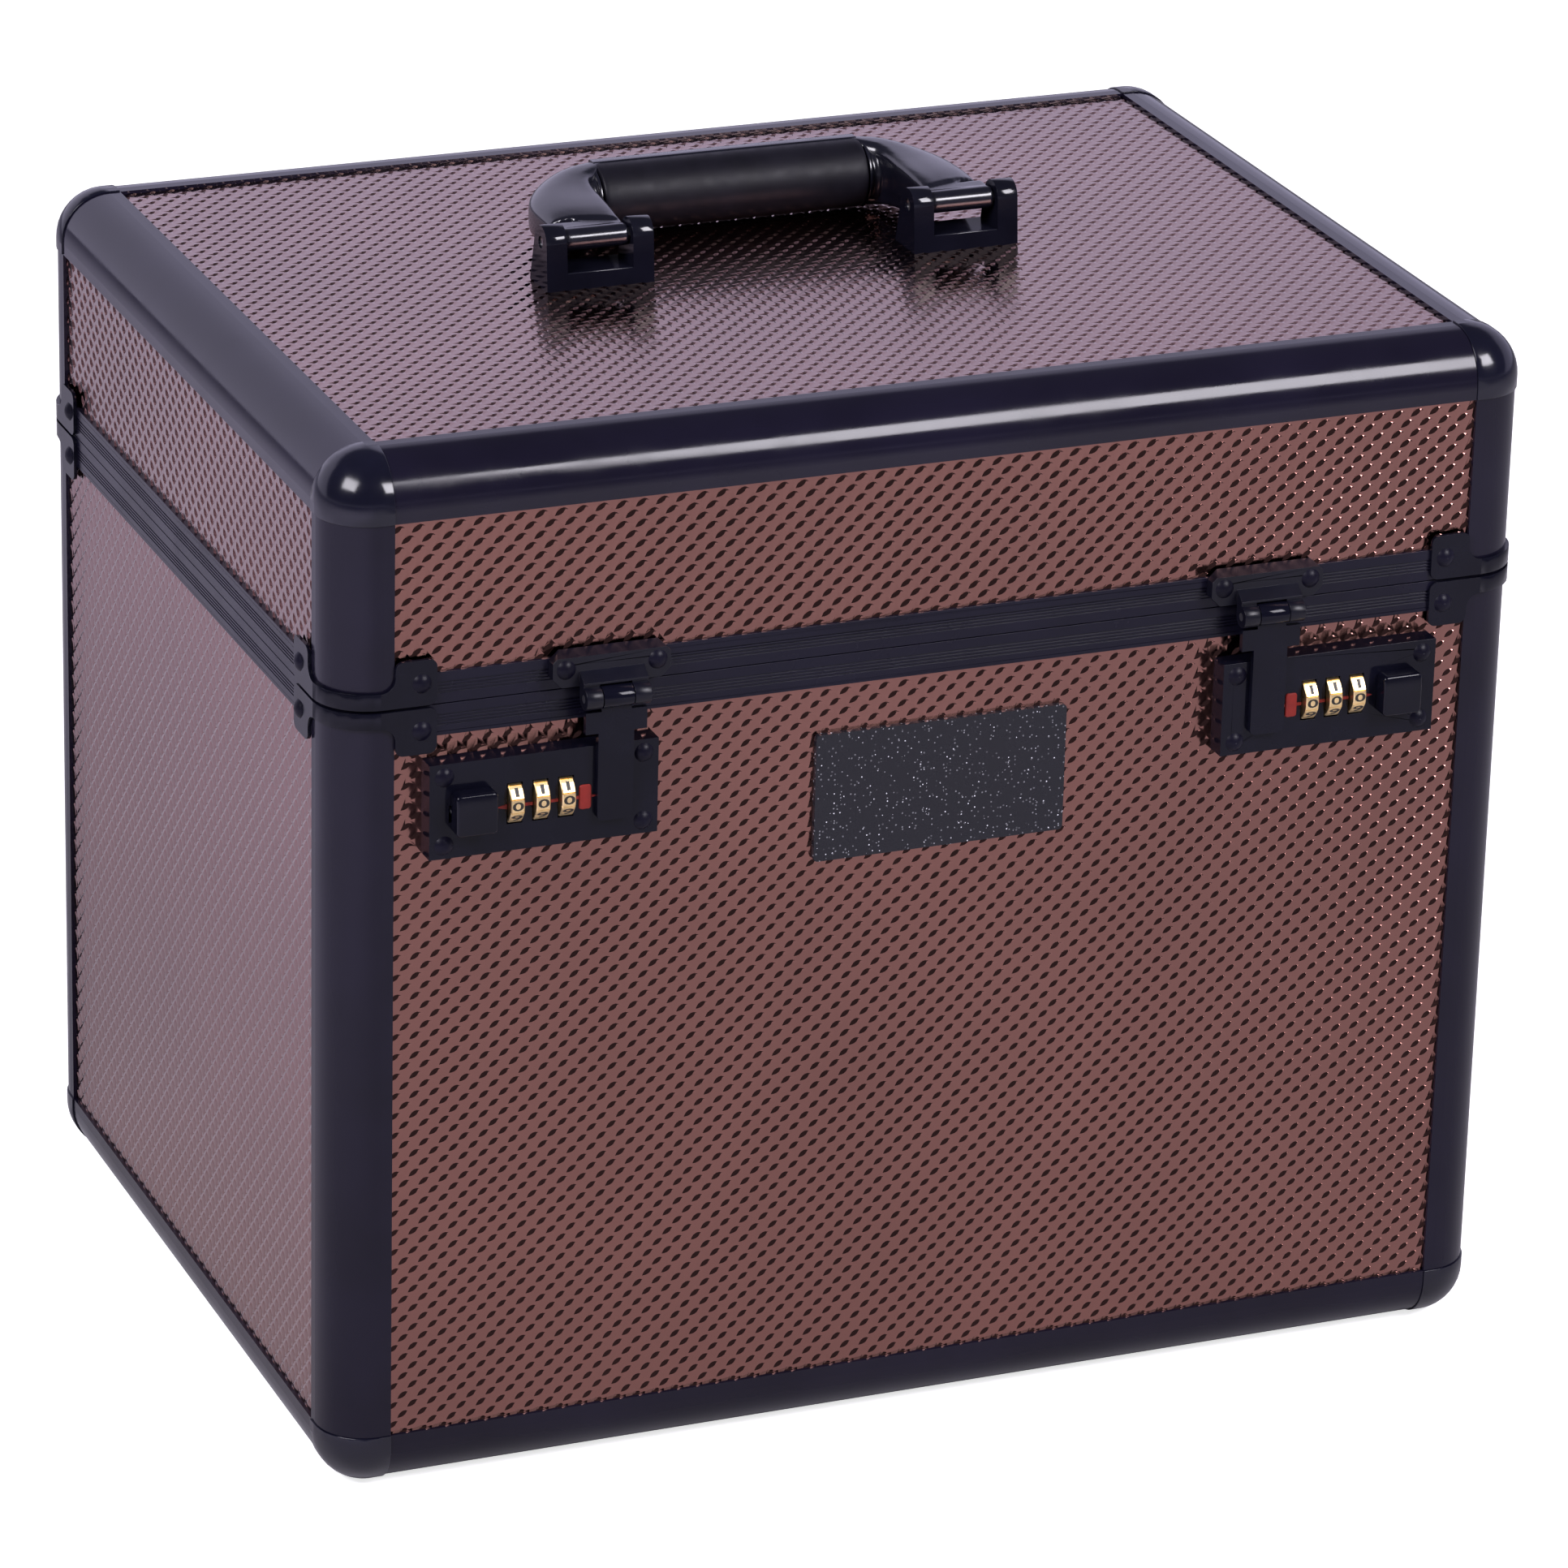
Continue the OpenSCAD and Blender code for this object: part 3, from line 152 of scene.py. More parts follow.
def finish(name, color, rough, metal=0.0, spec=0.5, vary=0.12, scale=60.0, rough_vary=0.05,
           bump=0.0, bump_scale=1500.0, bump_depth=0.00005, coat=0.0, sheen=0.0):
    """Material with uneven colour, uneven roughness and fine bump."""
    mat, nt, bsdf = new_material(name)
    low = tuple(c * (1 - vary) for c in color)
    high = tuple(min(1.0, c * (1 + vary)) for c in color)
    nt.links.new(ramp(nt, noise(nt, scale), low, high), bsdf.inputs["Base Color"])
    wear = map_range(nt, noise(nt, scale * 2.3, 5.0), NOISE_LOW, NOISE_HIGH,
                     rough - rough_vary, rough + rough_vary)
    nt.links.new(wear, bsdf.inputs["Roughness"])
    bsdf.inputs["Metallic"].default_value = metal
    bsdf.inputs["Specular IOR Level"].default_value = spec
    if coat:
        bsdf.inputs["Coat Weight"].default_value = coat
        bsdf.inputs["Coat Roughness"].default_value = 0.12
    if sheen:
        bsdf.inputs["Sheen Weight"].default_value = sheen
        bsdf.inputs["Sheen Roughness"].default_value = 0.5
    if bump:
        node = nt.nodes.new("ShaderNodeBump")
        node.inputs["Strength"].default_value = bump
        node.inputs["Distance"].default_value = bump_depth
        nt.links.new(noise(nt, bump_scale, 2.0), node.inputs["Height"])
        nt.links.new(node.outputs["Normal"], bsdf.inputs["Normal"])
    return mat


def polish_above(mat, z0, z1, low, high):
    """Specular level that rises with height: a painted highlight on the tops, and lower faces that hardly
    mirror the lamps.
    """
    nt = mat.node_tree
    level = map_range(nt, axes(nt, "Object")["Z"], z0, z1, low, high)
    nt.links.new(level, nt.nodes["Principled BSDF"].inputs["Specular IOR Level"])


def speckled(name):
    """Black badge sheet with fine pale flakes under its surface."""
    mat, nt, bsdf = new_material(name)
    cells = nt.nodes.new("ShaderNodeTexVoronoi")
    cells.inputs["Scale"].default_value = 900.0
    nt.links.new(nt.nodes.new("ShaderNodeTexCoord").outputs["Object"], cells.inputs["Vector"])
    pick = nt.nodes.new("ShaderNodeSeparateColor")
    nt.links.new(cells.outputs["Color"], pick.inputs["Color"])
    near = maths(nt, "LESS_THAN", cells.outputs["Distance"], 0.26)
    chosen = maths(nt, "GREATER_THAN", pick.outputs["Red"], 0.55)
    flake = maths(nt, "MULTIPLY", maths(nt, "MULTIPLY", near, chosen), pick.outputs["Green"])
    color = ramp(nt, flake, (0.010, 0.010, 0.014), (0.55, 0.55, 0.60), 0.0, 1.0)
    nt.links.new(color, bsdf.inputs["Base Color"])
    nt.links.new(map_range(nt, noise(nt, 300.0), NOISE_LOW, NOISE_HIGH, 0.24, 0.34), bsdf.inputs["Roughness"])
    bsdf.inputs["Specular IOR Level"].default_value = 0.24
    return mat


BRONZE = finish("embossed_bronze", (0.212, 0.094, 0.076), 0.13, metal=1.0, vary=0.08, scale=9.0,
                rough_vary=0.03, bump=0.12, bump_scale=900.0, coat=0.5)
PANEL = finish("panel_core", (0.212, 0.094, 0.076), 0.30, metal=1.0, vary=0.1)
RAIL = finish("rail_satin_black", (0.006, 0.005, 0.012), 0.14, spec=0.27, vary=0.2, scale=25.0,
              bump=0.12, bump_scale=2600.0)
POST = finish("post_satin_black", (0.006, 0.005, 0.012), 0.18, spec=0.185, vary=0.2, scale=25.0,
              bump=0.12, bump_scale=2600.0)
RIM = finish("rim_satin_black", (0.005, 0.0045, 0.011), 0.24, spec=0.17, vary=0.2, scale=25.0,
             bump=0.12, bump_scale=2600.0)
CAP = finish("cap_gloss_black", (0.004, 0.004, 0.010), 0.15, spec=0.36, vary=0.2, bump=0.05,
             bump_scale=700.0)
HARDWARE = finish("hardware_black", (0.003, 0.003, 0.007), 0.12, spec=0.16, vary=0.2, bump=0.12,
                  bump_scale=1800.0)
PLATE = finish("plate_satin_black", (0.003, 0.003, 0.007), 0.34, spec=0.24, vary=0.2, bump=0.12,
               bump_scale=1800.0)
RIVET = finish("rivet_black", (0.004, 0.0035, 0.009), 0.36, spec=0.11, vary=0.25, bump=0.15,
               bump_scale=1600.0)
BUTTON = finish("button_gloss_black", (0.0025, 0.0025, 0.006), 0.12, spec=0.19, vary=0.2, bump=0.05,
                bump_scale=900.0)
GOLD = finish("dial_gold", (0.80, 0.60, 0.30), 0.32, metal=1.0, vary=0.12, scale=400.0, bump=0.15,
              bump_scale=2500.0)
INK = finish("dial_ink", (0.012, 0.009, 0.005), 0.5, vary=0.3, scale=900.0)
RED = finish("marker_red", (0.18, 0.014, 0.010), 0.42, spec=0.22, vary=0.15, scale=300.0, bump=0.1)
STEEL = finish("plain_steel", (0.55, 0.55, 0.57), 0.3, metal=1.0, vary=0.1, scale=200.0)
BADGE = speckled("badge_black")
MOULDED = finish("handle_gloss_black", (0.005, 0.005, 0.010), 0.22, spec=0.52, vary=0.2, bump=0.1,
                 bump_scale=900.0, coat=0.2)
BASE = finish("base_gloss_black", (0.004, 0.004, 0.008), 0.12, spec=0.13, vary=0.2, bump=0.08,
              bump_scale=900.0)
# Painted highlight: the bases shine at their tops and barely mirror the lamps lower down
polish_above(BASE, 0.352, 0.359, 0.04, 0.40)
RUBBER = finish("grip_rubber", (0.0055, 0.005, 0.0085), 0.48, spec=0.17, vary=0.2, scale=120.0, bump=0.3,
                bump_scale=2200.0)
FELT = finish("lining_felt", (0.016, 0.016, 0.018), 0.95, spec=0.15, vary=0.35, scale=350.0, bump=0.8,
              bump_scale=1400.0, bump_depth=0.0003, sheen=0.25)
TRAY = finish("tray_plastic", (0.014, 0.014, 0.016), 0.42, spec=0.4, vary=0.15, scale=90.0, bump=0.4,
              bump_scale=1100.0, bump_depth=0.0001)


# Mesh helpers: places in millimetres, in the model's frame
def add_mesh(name, verts, faces, mats, ids=None, smooth=True, sharp_angle=None):
    me = bpy.data.meshes.new(name)
    me.from_pydata((np.asarray(verts, float) * MM).tolist(), [], faces)
    for m in mats:
        me.materials.append(m)
    if ids is not None:
        me.polygons.foreach_set("material_index", np.asarray(ids, np.int32))
    me.polygons.foreach_set("use_smooth", np.full(len(me.polygons), smooth))
    if smooth and sharp_angle is not None:
        me.set_sharp_from_angle(angle=math.radians(sharp_angle))
    me.update()
    obj = bpy.data.objects.new(name, me)
    scene.collection.objects.link(obj)
    return obj


def join_parts(parts):
    """Several (verts, faces, material index) sets as one list of each."""
    verts, faces, ids = [], [], []
    for v, f, m in parts:
        base = len(verts)
        verts.extend(v)
        faces.extend([tuple(i + base for i in face) for face in f])
        ids.extend([m] * len(f))
    return verts, faces, ids


def outward(verts, faces):
    """Faces of a closed shape, turned so that they look out of it."""
    v = np.asarray(verts, float)
    v = v - v.mean(0)
    tris = np.array([(f[0], f[k], f[k + 1]) for f in faces for k in range(1, len(f) - 1)])
    volume = np.einsum("ij,ij->", v[tris[:, 0]], np.cross(v[tris[:, 1]], v[tris[:, 2]]))
    return faces if volume > 0 else [f[::-1] for f in faces]


def loft(rings):
    """Closed skin over equal rings of points."""
    n = len(rings[0])
    verts = [p for ring in rings for p in ring]
    faces = []
    for k in range(len(rings) - 1):
        for i in range(n):
            j = (i + 1) % n
            faces.append((k * n + i, k * n + j, (k + 1) * n + j, (k + 1) * n + i))
    faces.append(tuple(reversed(range(n))))
    last = (len(rings) - 1) * n
    faces.append(tuple(range(last, last + n)))
    return verts, outward(verts, faces)


def lathe_x(profile, y, z, steps=64):
    """Turned shape along X: profile holds (x, radius)."""
    angles = [2 * math.pi * i / steps for i in range(steps)]
    return loft([[(x, y - r * math.cos(a), z + r * math.sin(a)) for a in angles] for x, r in profile])


def bevelled_box(low, high, b):
    """Box with chamfered edges along all sides."""
    bm = bmesh.new()
    bmesh.ops.create_cube(bm, size=1.0)
    for v in bm.verts:
        for a in range(3):
            v.co[a] = low[a] if v.co[a] < 0 else high[a]
    bmesh.ops.bevel(bm, geom=list(bm.edges), offset=b, segments=2, affect="EDGES", profile=0.5)
    bm.verts.index_update()
    out = [tuple(v.co) for v in bm.verts], [tuple(v.index for v in f.verts) for f in bm.faces]
    bm.free()
    return out


# Embossed skins on the panels: a face-centred lattice of scales, each with a leaf-shaped step
STEP_U, STEP_V = 6.52, 6.65
LEAF_H = 0.50
LEAF_ANGLE = math.radians(33)
# Points of the leaf: along it, across it, and the share of the height
LEAF_ENDS = ((-2.1, 0, 0.5), (1.89, 0.07, 0.5))
LEAF_RIDGE = ((-1.25, 0.36, 0.86), (-0.4, 0.58, 1), (0.5, 0.56, 1), (1.41, 0.16, 0.84))
LEAF_HOLLOW = ((-1.3, -0.44, 0.14), (-0.45, -0.74, 0), (0.55, -0.74, 0), (1.37, -0.415, 0.1))


def leaf_cell():
    """Points (u, v, height) and triangles of one diamond cell round its leaf."""
    d = np.array([math.cos(LEAF_ANGLE), math.sin(LEAF_ANGLE)])
    s = np.array([d[1], -d[0]])
    mid = LEAF_H / 2
    pts = [(-STEP_U / 2, 0, mid), (0, -STEP_V / 2, mid), (STEP_U / 2, 0, mid), (0, STEP_V / 2, mid)]
    for along, across, lift in (*LEAF_ENDS, *LEAF_RIDGE, *LEAF_HOLLOW):
        p = along * d + across * s
        pts.append((p[0], p[1], lift * LEAF_H))
    w, so, e, n, a, b, r1, r2, r3, r4, b1, b2, b3, b4 = range(14)
    tris = [(w, so, a), (a, so, r1), (r1, so, r2), (r2, so, r3), (r3, so, e), (r3, e, r4), (r4, e, b),
            (b, e, n), (w, a, b1), (w, b1, n), (b1, b2, n), (b2, b3, n), (b3, b4, n), (b4, b, n),
            (a, r1, b1), (r1, r2, b2), (r1, b2, b1), (r2, r3, b3), (r2, b3, b2), (r3, r4, b4),
            (r3, b4, b3), (r4, b, b4)]
    return np.array(pts, float), np.array(tris)


CELL_PTS, CELL_TRIS = leaf_cell()


def skin(name, body, origin, u, v, n, rect, holes=(), turn=0, leaf=1.0):
    """Skin over a panel face: origin on the face, u to the right and v up as seen from outside.

    Leaves turn in quarters and are scaled round the middle of their cells. Cells inside a hole are left out.
    """
    origin, u, v, n = (np.array(a, float) for a in (origin, u, v, n))
    u0, u1, v0, v1 = rect
    pts = CELL_PTS.copy()
    mid = np.array([0, 0, LEAF_H / 2])
    pts[4:] = (pts[4:] - mid) * leaf + mid
    c, s = round(math.cos(math.radians(turn))), round(math.sin(math.radians(turn)))
    scale = np.array([STEP_U / 2, STEP_V / 2])
    flat = pts[:, :2] / scale
    pts[:, 0] = (c * flat[:, 0] - s * flat[:, 1]) * scale[0]
    pts[:, 1] = (s * flat[:, 0] + c * flat[:, 1]) * scale[1]
    inner, border = [], []
    hu, hv = STEP_U / 2, STEP_V / 2
    for i in range(math.floor(u0 / hu) - 1, math.ceil(u1 / hu) + 2):
        for j in range(math.floor(v0 / hv) - 1, math.ceil(v1 / hv) + 2):
            if (i + j) % 2:
                continue
            x, y = i * hu, j * hv
            if x + hu <= u0 or x - hu >= u1 or y + hv <= v0 or y - hv >= v1:
                continue
            if any(a + hu < x < b - hu and p + hv < y < q - hv for a, b, p, q in holes):
                continue
            whole = u0 <= x - hu and x + hu <= u1 and v0 <= y - hv and y + hv <= v1
            (inner if whole else border).append((x, y))

    def cells(spots):
        spots = np.array(spots, float).reshape(-1, 2)
        p = np.repeat(pts[None], len(spots), 0)
        p[:, :, :2] += spots[:, None]
        t = CELL_TRIS[None] + (np.arange(len(spots)) * len(pts))[:, None, None]
        return p.reshape(-1, 3), t.reshape(-1, 3)

    bm = bmesh.new()
    p, t = cells(border)
    made = [bm.verts.new(q) for q in p]
    for tri in t:
        bm.faces.new([made[k] for k in tri])
    for place, away in (((u0, 0, 0), (-1, 0, 0)), ((u1, 0, 0), (1, 0, 0)),
                        ((0, v0, 0), (0, -1, 0)), ((0, v1, 0), (0, 1, 0))):
        bmesh.ops.bisect_plane(bm, geom=bm.verts[:] + bm.edges[:] + bm.faces[:], dist=1e-5,
                               plane_co=place, plane_no=away, clear_outer=True)
    bmesh.ops.triangulate(bm, faces=bm.faces[:])
    bm.verts.index_update()
    edge_p = np.array([q.co for q in bm.verts], float).reshape(-1, 3)
    edge_t = np.array([[q.index for q in f.verts] for f in bm.faces], int).reshape(-1, 3)
    bm.free()
    p, t = cells(inner)
    local = np.concatenate([p, edge_p])
    tris = np.concatenate([t, edge_t + len(p)])
    key = np.round(local * 2000).astype(np.int64)
    _, first, back = np.unique(key, axis=0, return_index=True, return_inverse=True)
    local, tris = local[first], back.reshape(-1)[tris]
    a, b, c3 = tris.T
    tris = tris[(a != b) & (b != c3) & (a != c3)]
    world = origin + local[:, :1] * u + local[:, 1:2] * v + local[:, 2:] * n
    obj = add_mesh(name, world, tris.tolist(), [BRONZE], sharp_angle=18)
    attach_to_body(obj, body)


# Half widths of the open faces, the faces' places, and the heights that body and lid leave open
FACE_X, FACE_Y, SIDE_X, SIDE_Y, TOP_Z = 180.3, 127.3, 198.6, 145.6, 343.1
BODY_V, LID_V = (20.2, 255.2), (275.8, 324.8)
WIDE, DEEP = (-FACE_X, FACE_X), (-FACE_Y, FACE_Y)
# What stands on the faces: two locks and the badge, and the handle's bases
FRONT_HOLES = [(-171.1, -96.9, 217.1, 248.1), (93.5, 167.7, 217.1, 248.1), (-42.3, 42.3, 197.0, 239.4)]
TOP_HOLES = [(-81.4, -45.0, -9.7, 6.5), (45.0, 81.4, -9.7, 6.5)]
for side, origin, u, n, span, body_look, lid_look in (
        ("front", -SIDE_Y * Y, X, -Y, WIDE, {"holes": FRONT_HOLES}, {"leaf": 1.1}),
        ("back", SIDE_Y * Y, -X, Y, WIDE, {}, {}),
        ("left", -SIDE_X * X, -Y, -X, DEEP, {"leaf": 1.1}, {"turn": -90, "leaf": 0.9}),
        ("right", SIDE_X * X, Y, X, DEEP, {}, {"turn": -90, "leaf": 0.9})):
    skin(f"skin_{side}", "body", origin, u, Z, n, (*span, *BODY_V), **body_look)
    skin(f"skin_lid_{side}", "lid", origin, u, Z, n, (*span, *LID_V), **lid_look)
skin("skin_top", "lid", TOP_Z * Z, X, Y, Z, (*WIDE, *DEEP), TOP_HOLES, turn=180, leaf=0.8)


# Number wheels: ten flats with grooves between them and a painted numeral on each
def digit_mesh(k):
    curve = bpy.data.curves.new(f"digit_{k}", "FONT")
    curve.body = str(k)
    curve.size = 1.0
    curve.align_x = "CENTER"
    curve.resolution_u = 3
    curve.offset = 0.018
    obj = bpy.data.objects.new(f"digit_{k}", curve)
    scene.collection.objects.link(obj)
    bpy.context.view_layer.update()
    me = bpy.data.meshes.new_from_object(obj.evaluated_get(bpy.context.evaluated_depsgraph_get()))
    co = np.array([v.co for v in me.vertices], float).reshape(-1, 3)
    faces = [tuple(p.vertices) for p in me.polygons]
    bpy.data.objects.remove(obj)
    bpy.data.curves.remove(curve)
    bpy.data.meshes.remove(me)
    low, high = co.min(0), co.max(0)
    co = (co - (low + high) / 2) / np.maximum(high - low, 1e-6)
    return co, faces


DIGITS = [digit_mesh(k) for k in range(10)]
DIAL_Y, DIAL_Z, DIAL_R, DIAL_W = -149.4, 232.6, 7.4, 4.5
FLATS = 10
GROOVE_R, FLAT_BOW, DIAL_CHAMFER = 6.9, 0.13, 0.32
NUMERAL_W, NUMERAL_ONE_W, NUMERAL_H = 3.7, 1.2, 2.9


def number_wheel(name, node, body, cx):
    turn = 2 * math.pi / FLATS
    flat_r = DIAL_R * math.cos(turn / 2)
    half = DIAL_R * math.sin(turn / 2) - 0.2
    outline = []
    for k in range(FLATS):
        el = k * turn
        for t, bow in ((-half, 0), (-half / 2, FLAT_BOW), (half / 2, FLAT_BOW), (half, 0)):
            r = flat_r + bow
            outline.append((r * math.cos(el) - t * math.sin(el), r * math.sin(el) + t * math.cos(el)))
        outline.append((GROOVE_R * math.cos(el + turn / 2), GROOVE_R * math.sin(el + turn / 2)))
    rings = []
    edge, inset = DIAL_W / 2, DIAL_W / 2 - DIAL_CHAMFER
    for x, f in ((-edge, 0.955), (-inset, 1.0), (inset, 1.0), (edge, 0.955)):
        rings.append([(cx + x, DIAL_Y - f * p, DIAL_Z + f * q) for p, q in outline])
    parts = [(*loft(rings), 0)]
    for k, (co, faces) in enumerate(DIGITS):
        out = np.array([0, -math.cos(k * turn), math.sin(k * turn)])
        up = np.array([0, math.sin(k * turn), math.cos(k * turn)])
        wide = NUMERAL_ONE_W if k == 1 else NUMERAL_W
        place = np.array([cx, DIAL_Y, DIAL_Z]) + out * (flat_r + FLAT_BOW + 0.02)
        pts = place + co[:, :1] * wide * X + co[:, 1:2] * NUMERAL_H * up
        parts.append((pts.tolist(), faces, 1))
    verts, faces, ids = join_parts(parts)
    obj = add_mesh(name, verts, faces, [GOLD, INK], ids, smooth=False)
    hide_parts(node)
    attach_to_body(obj, body)


for side, places in (("left", (-143.6, -135.3, -127.0)), ("right", (140.2, 131.9, 123.6))):
    for k, cx in enumerate(places, 1):
        number_wheel(f"{side}_number_wheel_{k}", f"{side}_dial_{k}", f"{side}_wheel_{k}", cx)


# Slide buttons: a square head with rounded edges and a face that bows back at the top, on its stem and bolt
FRONT_Y = -147.0


def slide_button(side, centre, inward):
    w, h, low, high, mid_z = 13.4, 13.4, 6.5, 12.2, 232.5
    corner, edge, bow = 1.5, 0.9, 0.7
    steps = 40
    ease = 0.5 - 0.5 * np.cos(np.pi * np.linspace(0, 1, steps + 1))
    verts = []
    for b in ease:
        for a in ease:
            x, z = (a - 0.5) * w, (b - 0.5) * h
            dx, dz = abs(x) - (w / 2 - corner), abs(z) - (h / 2 - corner)
            inside = min(w / 2 - abs(x), h / 2 - abs(z))
            if dx > 0 and dz > 0:
                k = max(dx, dz) / math.hypot(dx, dz)
                x = math.copysign(w / 2 - corner + dx * k, x)
                z = math.copysign(h / 2 - corner + dz * k, z)
                inside = corner - max(dx, dz)
            t = max(0.0, 1 - inside / edge)
            fall = edge * (1 - math.sqrt(1 - t * t)) + bow * max(0.0, z / (h / 2)) ** 2
            verts.append((centre + x, FRONT_Y - (high - fall), mid_z + z))
    n = steps + 1
    faces = [(j * n + i, j * n + i + 1, (j + 1) * n + i + 1, (j + 1) * n + i)
             for j in range(steps) for i in range(steps)]
    loop = list(range(n)) + [j * n + steps for j in range(1, n)]
    loop += [steps * n + i for i in range(steps - 1, -1, -1)] + [j * n for j in range(steps - 1, 0, -1)]
    back = len(verts)
    for i in loop:
        verts.append((verts[i][0], FRONT_Y - low, verts[i][2]))
    m = len(loop)
    for i in range(m):
        faces.append((loop[i], back + i, back + (i + 1) % m, loop[(i + 1) % m]))
    faces.append(tuple(back + i for i in range(m)))

    def bar(l0, l1, z0, z1, out=4.4):
        x = sorted((centre + inward * l0, centre + inward * l1))
        return (*bevelled_box((x[0], FRONT_Y - out, z0), (x[1], FRONT_Y - 2.4, z1), 0.15), 0)

    stem, carriage = bar(-3, 3, 229.1, 234.1, 6.6), bar(-5, 5, 227.1, 236.1)
    bolt = [bar(0, 5, 220.1, 231.6), bar(0, 42.4, 220.1, 222.8), bar(40.6, 42.4, 220.1, 233.1),
            bar(40.6, 44.2, 230.1, 233.1)]
    parts = [(verts, faces, 0), stem, carriage, *bolt]
    v, f, ids = join_parts(parts)
    obj = add_mesh(f"{side}_button_pillow", v, f, [BUTTON], ids, sharp_angle=50)
    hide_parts(f"{side}_lock_button")
    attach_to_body(obj, f"{side}_button")


slide_button("left", -157.5, 1)
slide_button("right", 154.1, -1)


# Return springs: a coil wound through the spring's box, with a mesh of its own, riding the body
WIRE_R, TURNS, TURN_STEPS, SLIDE = 0.24, 5, 24, 4.0


def coil_spring(side):
    low, high = (np.array(c, float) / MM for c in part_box(f"{side}_lock_spring"))
    y, z = (low[1:] + high[1:]) / 2
    r = (high[1] - low[1]) / 2 - WIRE_R
    rings = []
    for k, x in enumerate(np.linspace(low[0] + WIRE_R, high[0] - WIRE_R, TURNS * TURN_STEPS + 1)):
        a = 2 * math.pi * k / TURN_STEPS
        ring = []
        for b in np.radians(range(0, 360, 40)):
            out = r + WIRE_R * math.cos(b)
            ring.append((x + WIRE_R * math.sin(b), y + out * math.cos(a), z + out * math.sin(a)))
        rings.append(ring)
    obj = add_mesh(f"{side}_coil_spring", *loft(rings), [STEEL], sharp_angle=60)
    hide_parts(f"{side}_lock_spring")
    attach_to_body(obj, "body")
    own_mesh(obj)


coil_spring("left")
coil_spring("right")


# Red markers: a rounded tab and a line with a pointed end, broken at the wheels
def rounded_plate(cx, cz, w, h, r, o0, o1, edge):
    pts = []
    for qx, qz, start in ((1, 1, 0), (-1, 1, 90), (-1, -1, 180), (1, -1, 270)):
        for k in range(5):
            a = math.radians(start + 22.5 * k)
            pts.append((qx * (w / 2 - r), qz * (h / 2 - r), r * math.cos(a), r * math.sin(a)))
    rings = []
    for o, f in ((o0, 1.0), (o1 - edge, 1.0), (o1, 1 - edge / r)):
        rings.append([(cx + x + f * p, FRONT_Y - o, cz + z + f * q) for x, z, p, q in pts])
    return loft(rings)


MARK_Z, MARK_LOW, MARK_HIGH = 231.7, 6.2, 6.34


def marker(cx, inward):
    parts = [(*rounded_plate(cx + inward * 13.2, MARK_Z, 4.0, 8.0, 0.9, MARK_LOW, 6.7, 0.25), 0)]
    for l0, l1, h0, h1 in ((-15.2, -12.1, 0.15, 0.85), (-7.1, -3.8, 0.55, 0.55), (1.2, 4.5, 0.55, 0.55),
                           (9.5, 11.4, 0.55, 0.55), (15.0, 16.9, 0.55, 0.1)):
        x0, x1 = cx + inward * l0, cx + inward * l1
        rings = []
        for y, f in ((FRONT_Y - MARK_LOW, 1.0), (FRONT_Y - MARK_HIGH, 0.85)):
            rings.append([(x0, y, MARK_Z - h0 * f), (x1, y, MARK_Z - h1 * f), (x1, y, MARK_Z + h1 * f),
                          (x0, y, MARK_Z + h0 * f)])
        parts.append((*loft(rings), 0))
    return parts


verts, faces, ids = join_parts(marker(-134.0, 1) + marker(130.6, -1))
markers = add_mesh("red_markers", verts, faces, [RED], ids, sharp_angle=35)
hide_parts("lock_markers")
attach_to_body(markers, "body")


# Handle: moulded arms with collars, and the rubber grip
PIVOT_Y, PIVOT_Z = -2.8, 358.1
GRIP_Y, GRIP_Z = 42.7, 355.3
EYE_R, EYE_INNER, EYE_OUTER = 3.7, 52.4, 74.0
CORE_R, CORE_HALF, GRIP_HALF = 7.2, 46.3, 46.0
# Sections of the right arm from the pivot to the grip's end, round the pivot: inner and outer edge in plan,
# top, bottom and widest height, where the crown lies, how far the lower inner side is set back, squareness
ARM = (
    ((52.4, 4.5), (74.0, 11.5), 4.4, -4.6, 0.5, 0.40, 0.0, 4.5),
    ((52.2, 11.0), (74.3, 18.0), 5.4, -8.6, 0.5, 0.36, 0.3, 4.8),
    ((51.8, 18.0), (74.3, 25.5), 5.9, -10.4, 0.2, 0.32, 0.6, 5.0),
    ((51.4, 25.0), (73.3, 33.6), 6.2, -11.2, 0.0, 0.32, 1.0, 5.0),
    ((51.2, 31.0), (70.4, 41.0), 6.7, -12.0, -0.6, 0.34, 1.2, 4.8),
    ((50.6, 35.6), (66.2, 47.2), 7.3, -12.8, -1.4, 0.36, 1.0, 4.6),
    ((49.6, 38.4), (60.4, 52.4), 7.9, -13.6, -2.2, 0.38, 0.8, 4.4),
    ((48.0, 39.9), (53.8, 55.8), 8.3, -14.0, -2.7, 0.36, 0.6, 4.0),
    ((46.5, 40.8), (46.5, 56.9), 8.5, -14.0, -2.8, 0.34, 0.6, 3.4),
    ((41.0, 46.5), (41.0, 57.0), 8.7, -13.8, -2.8, 0.34, 0.0, 3.2),
)


ARM_STEPS, RING_STEPS = 49, 64


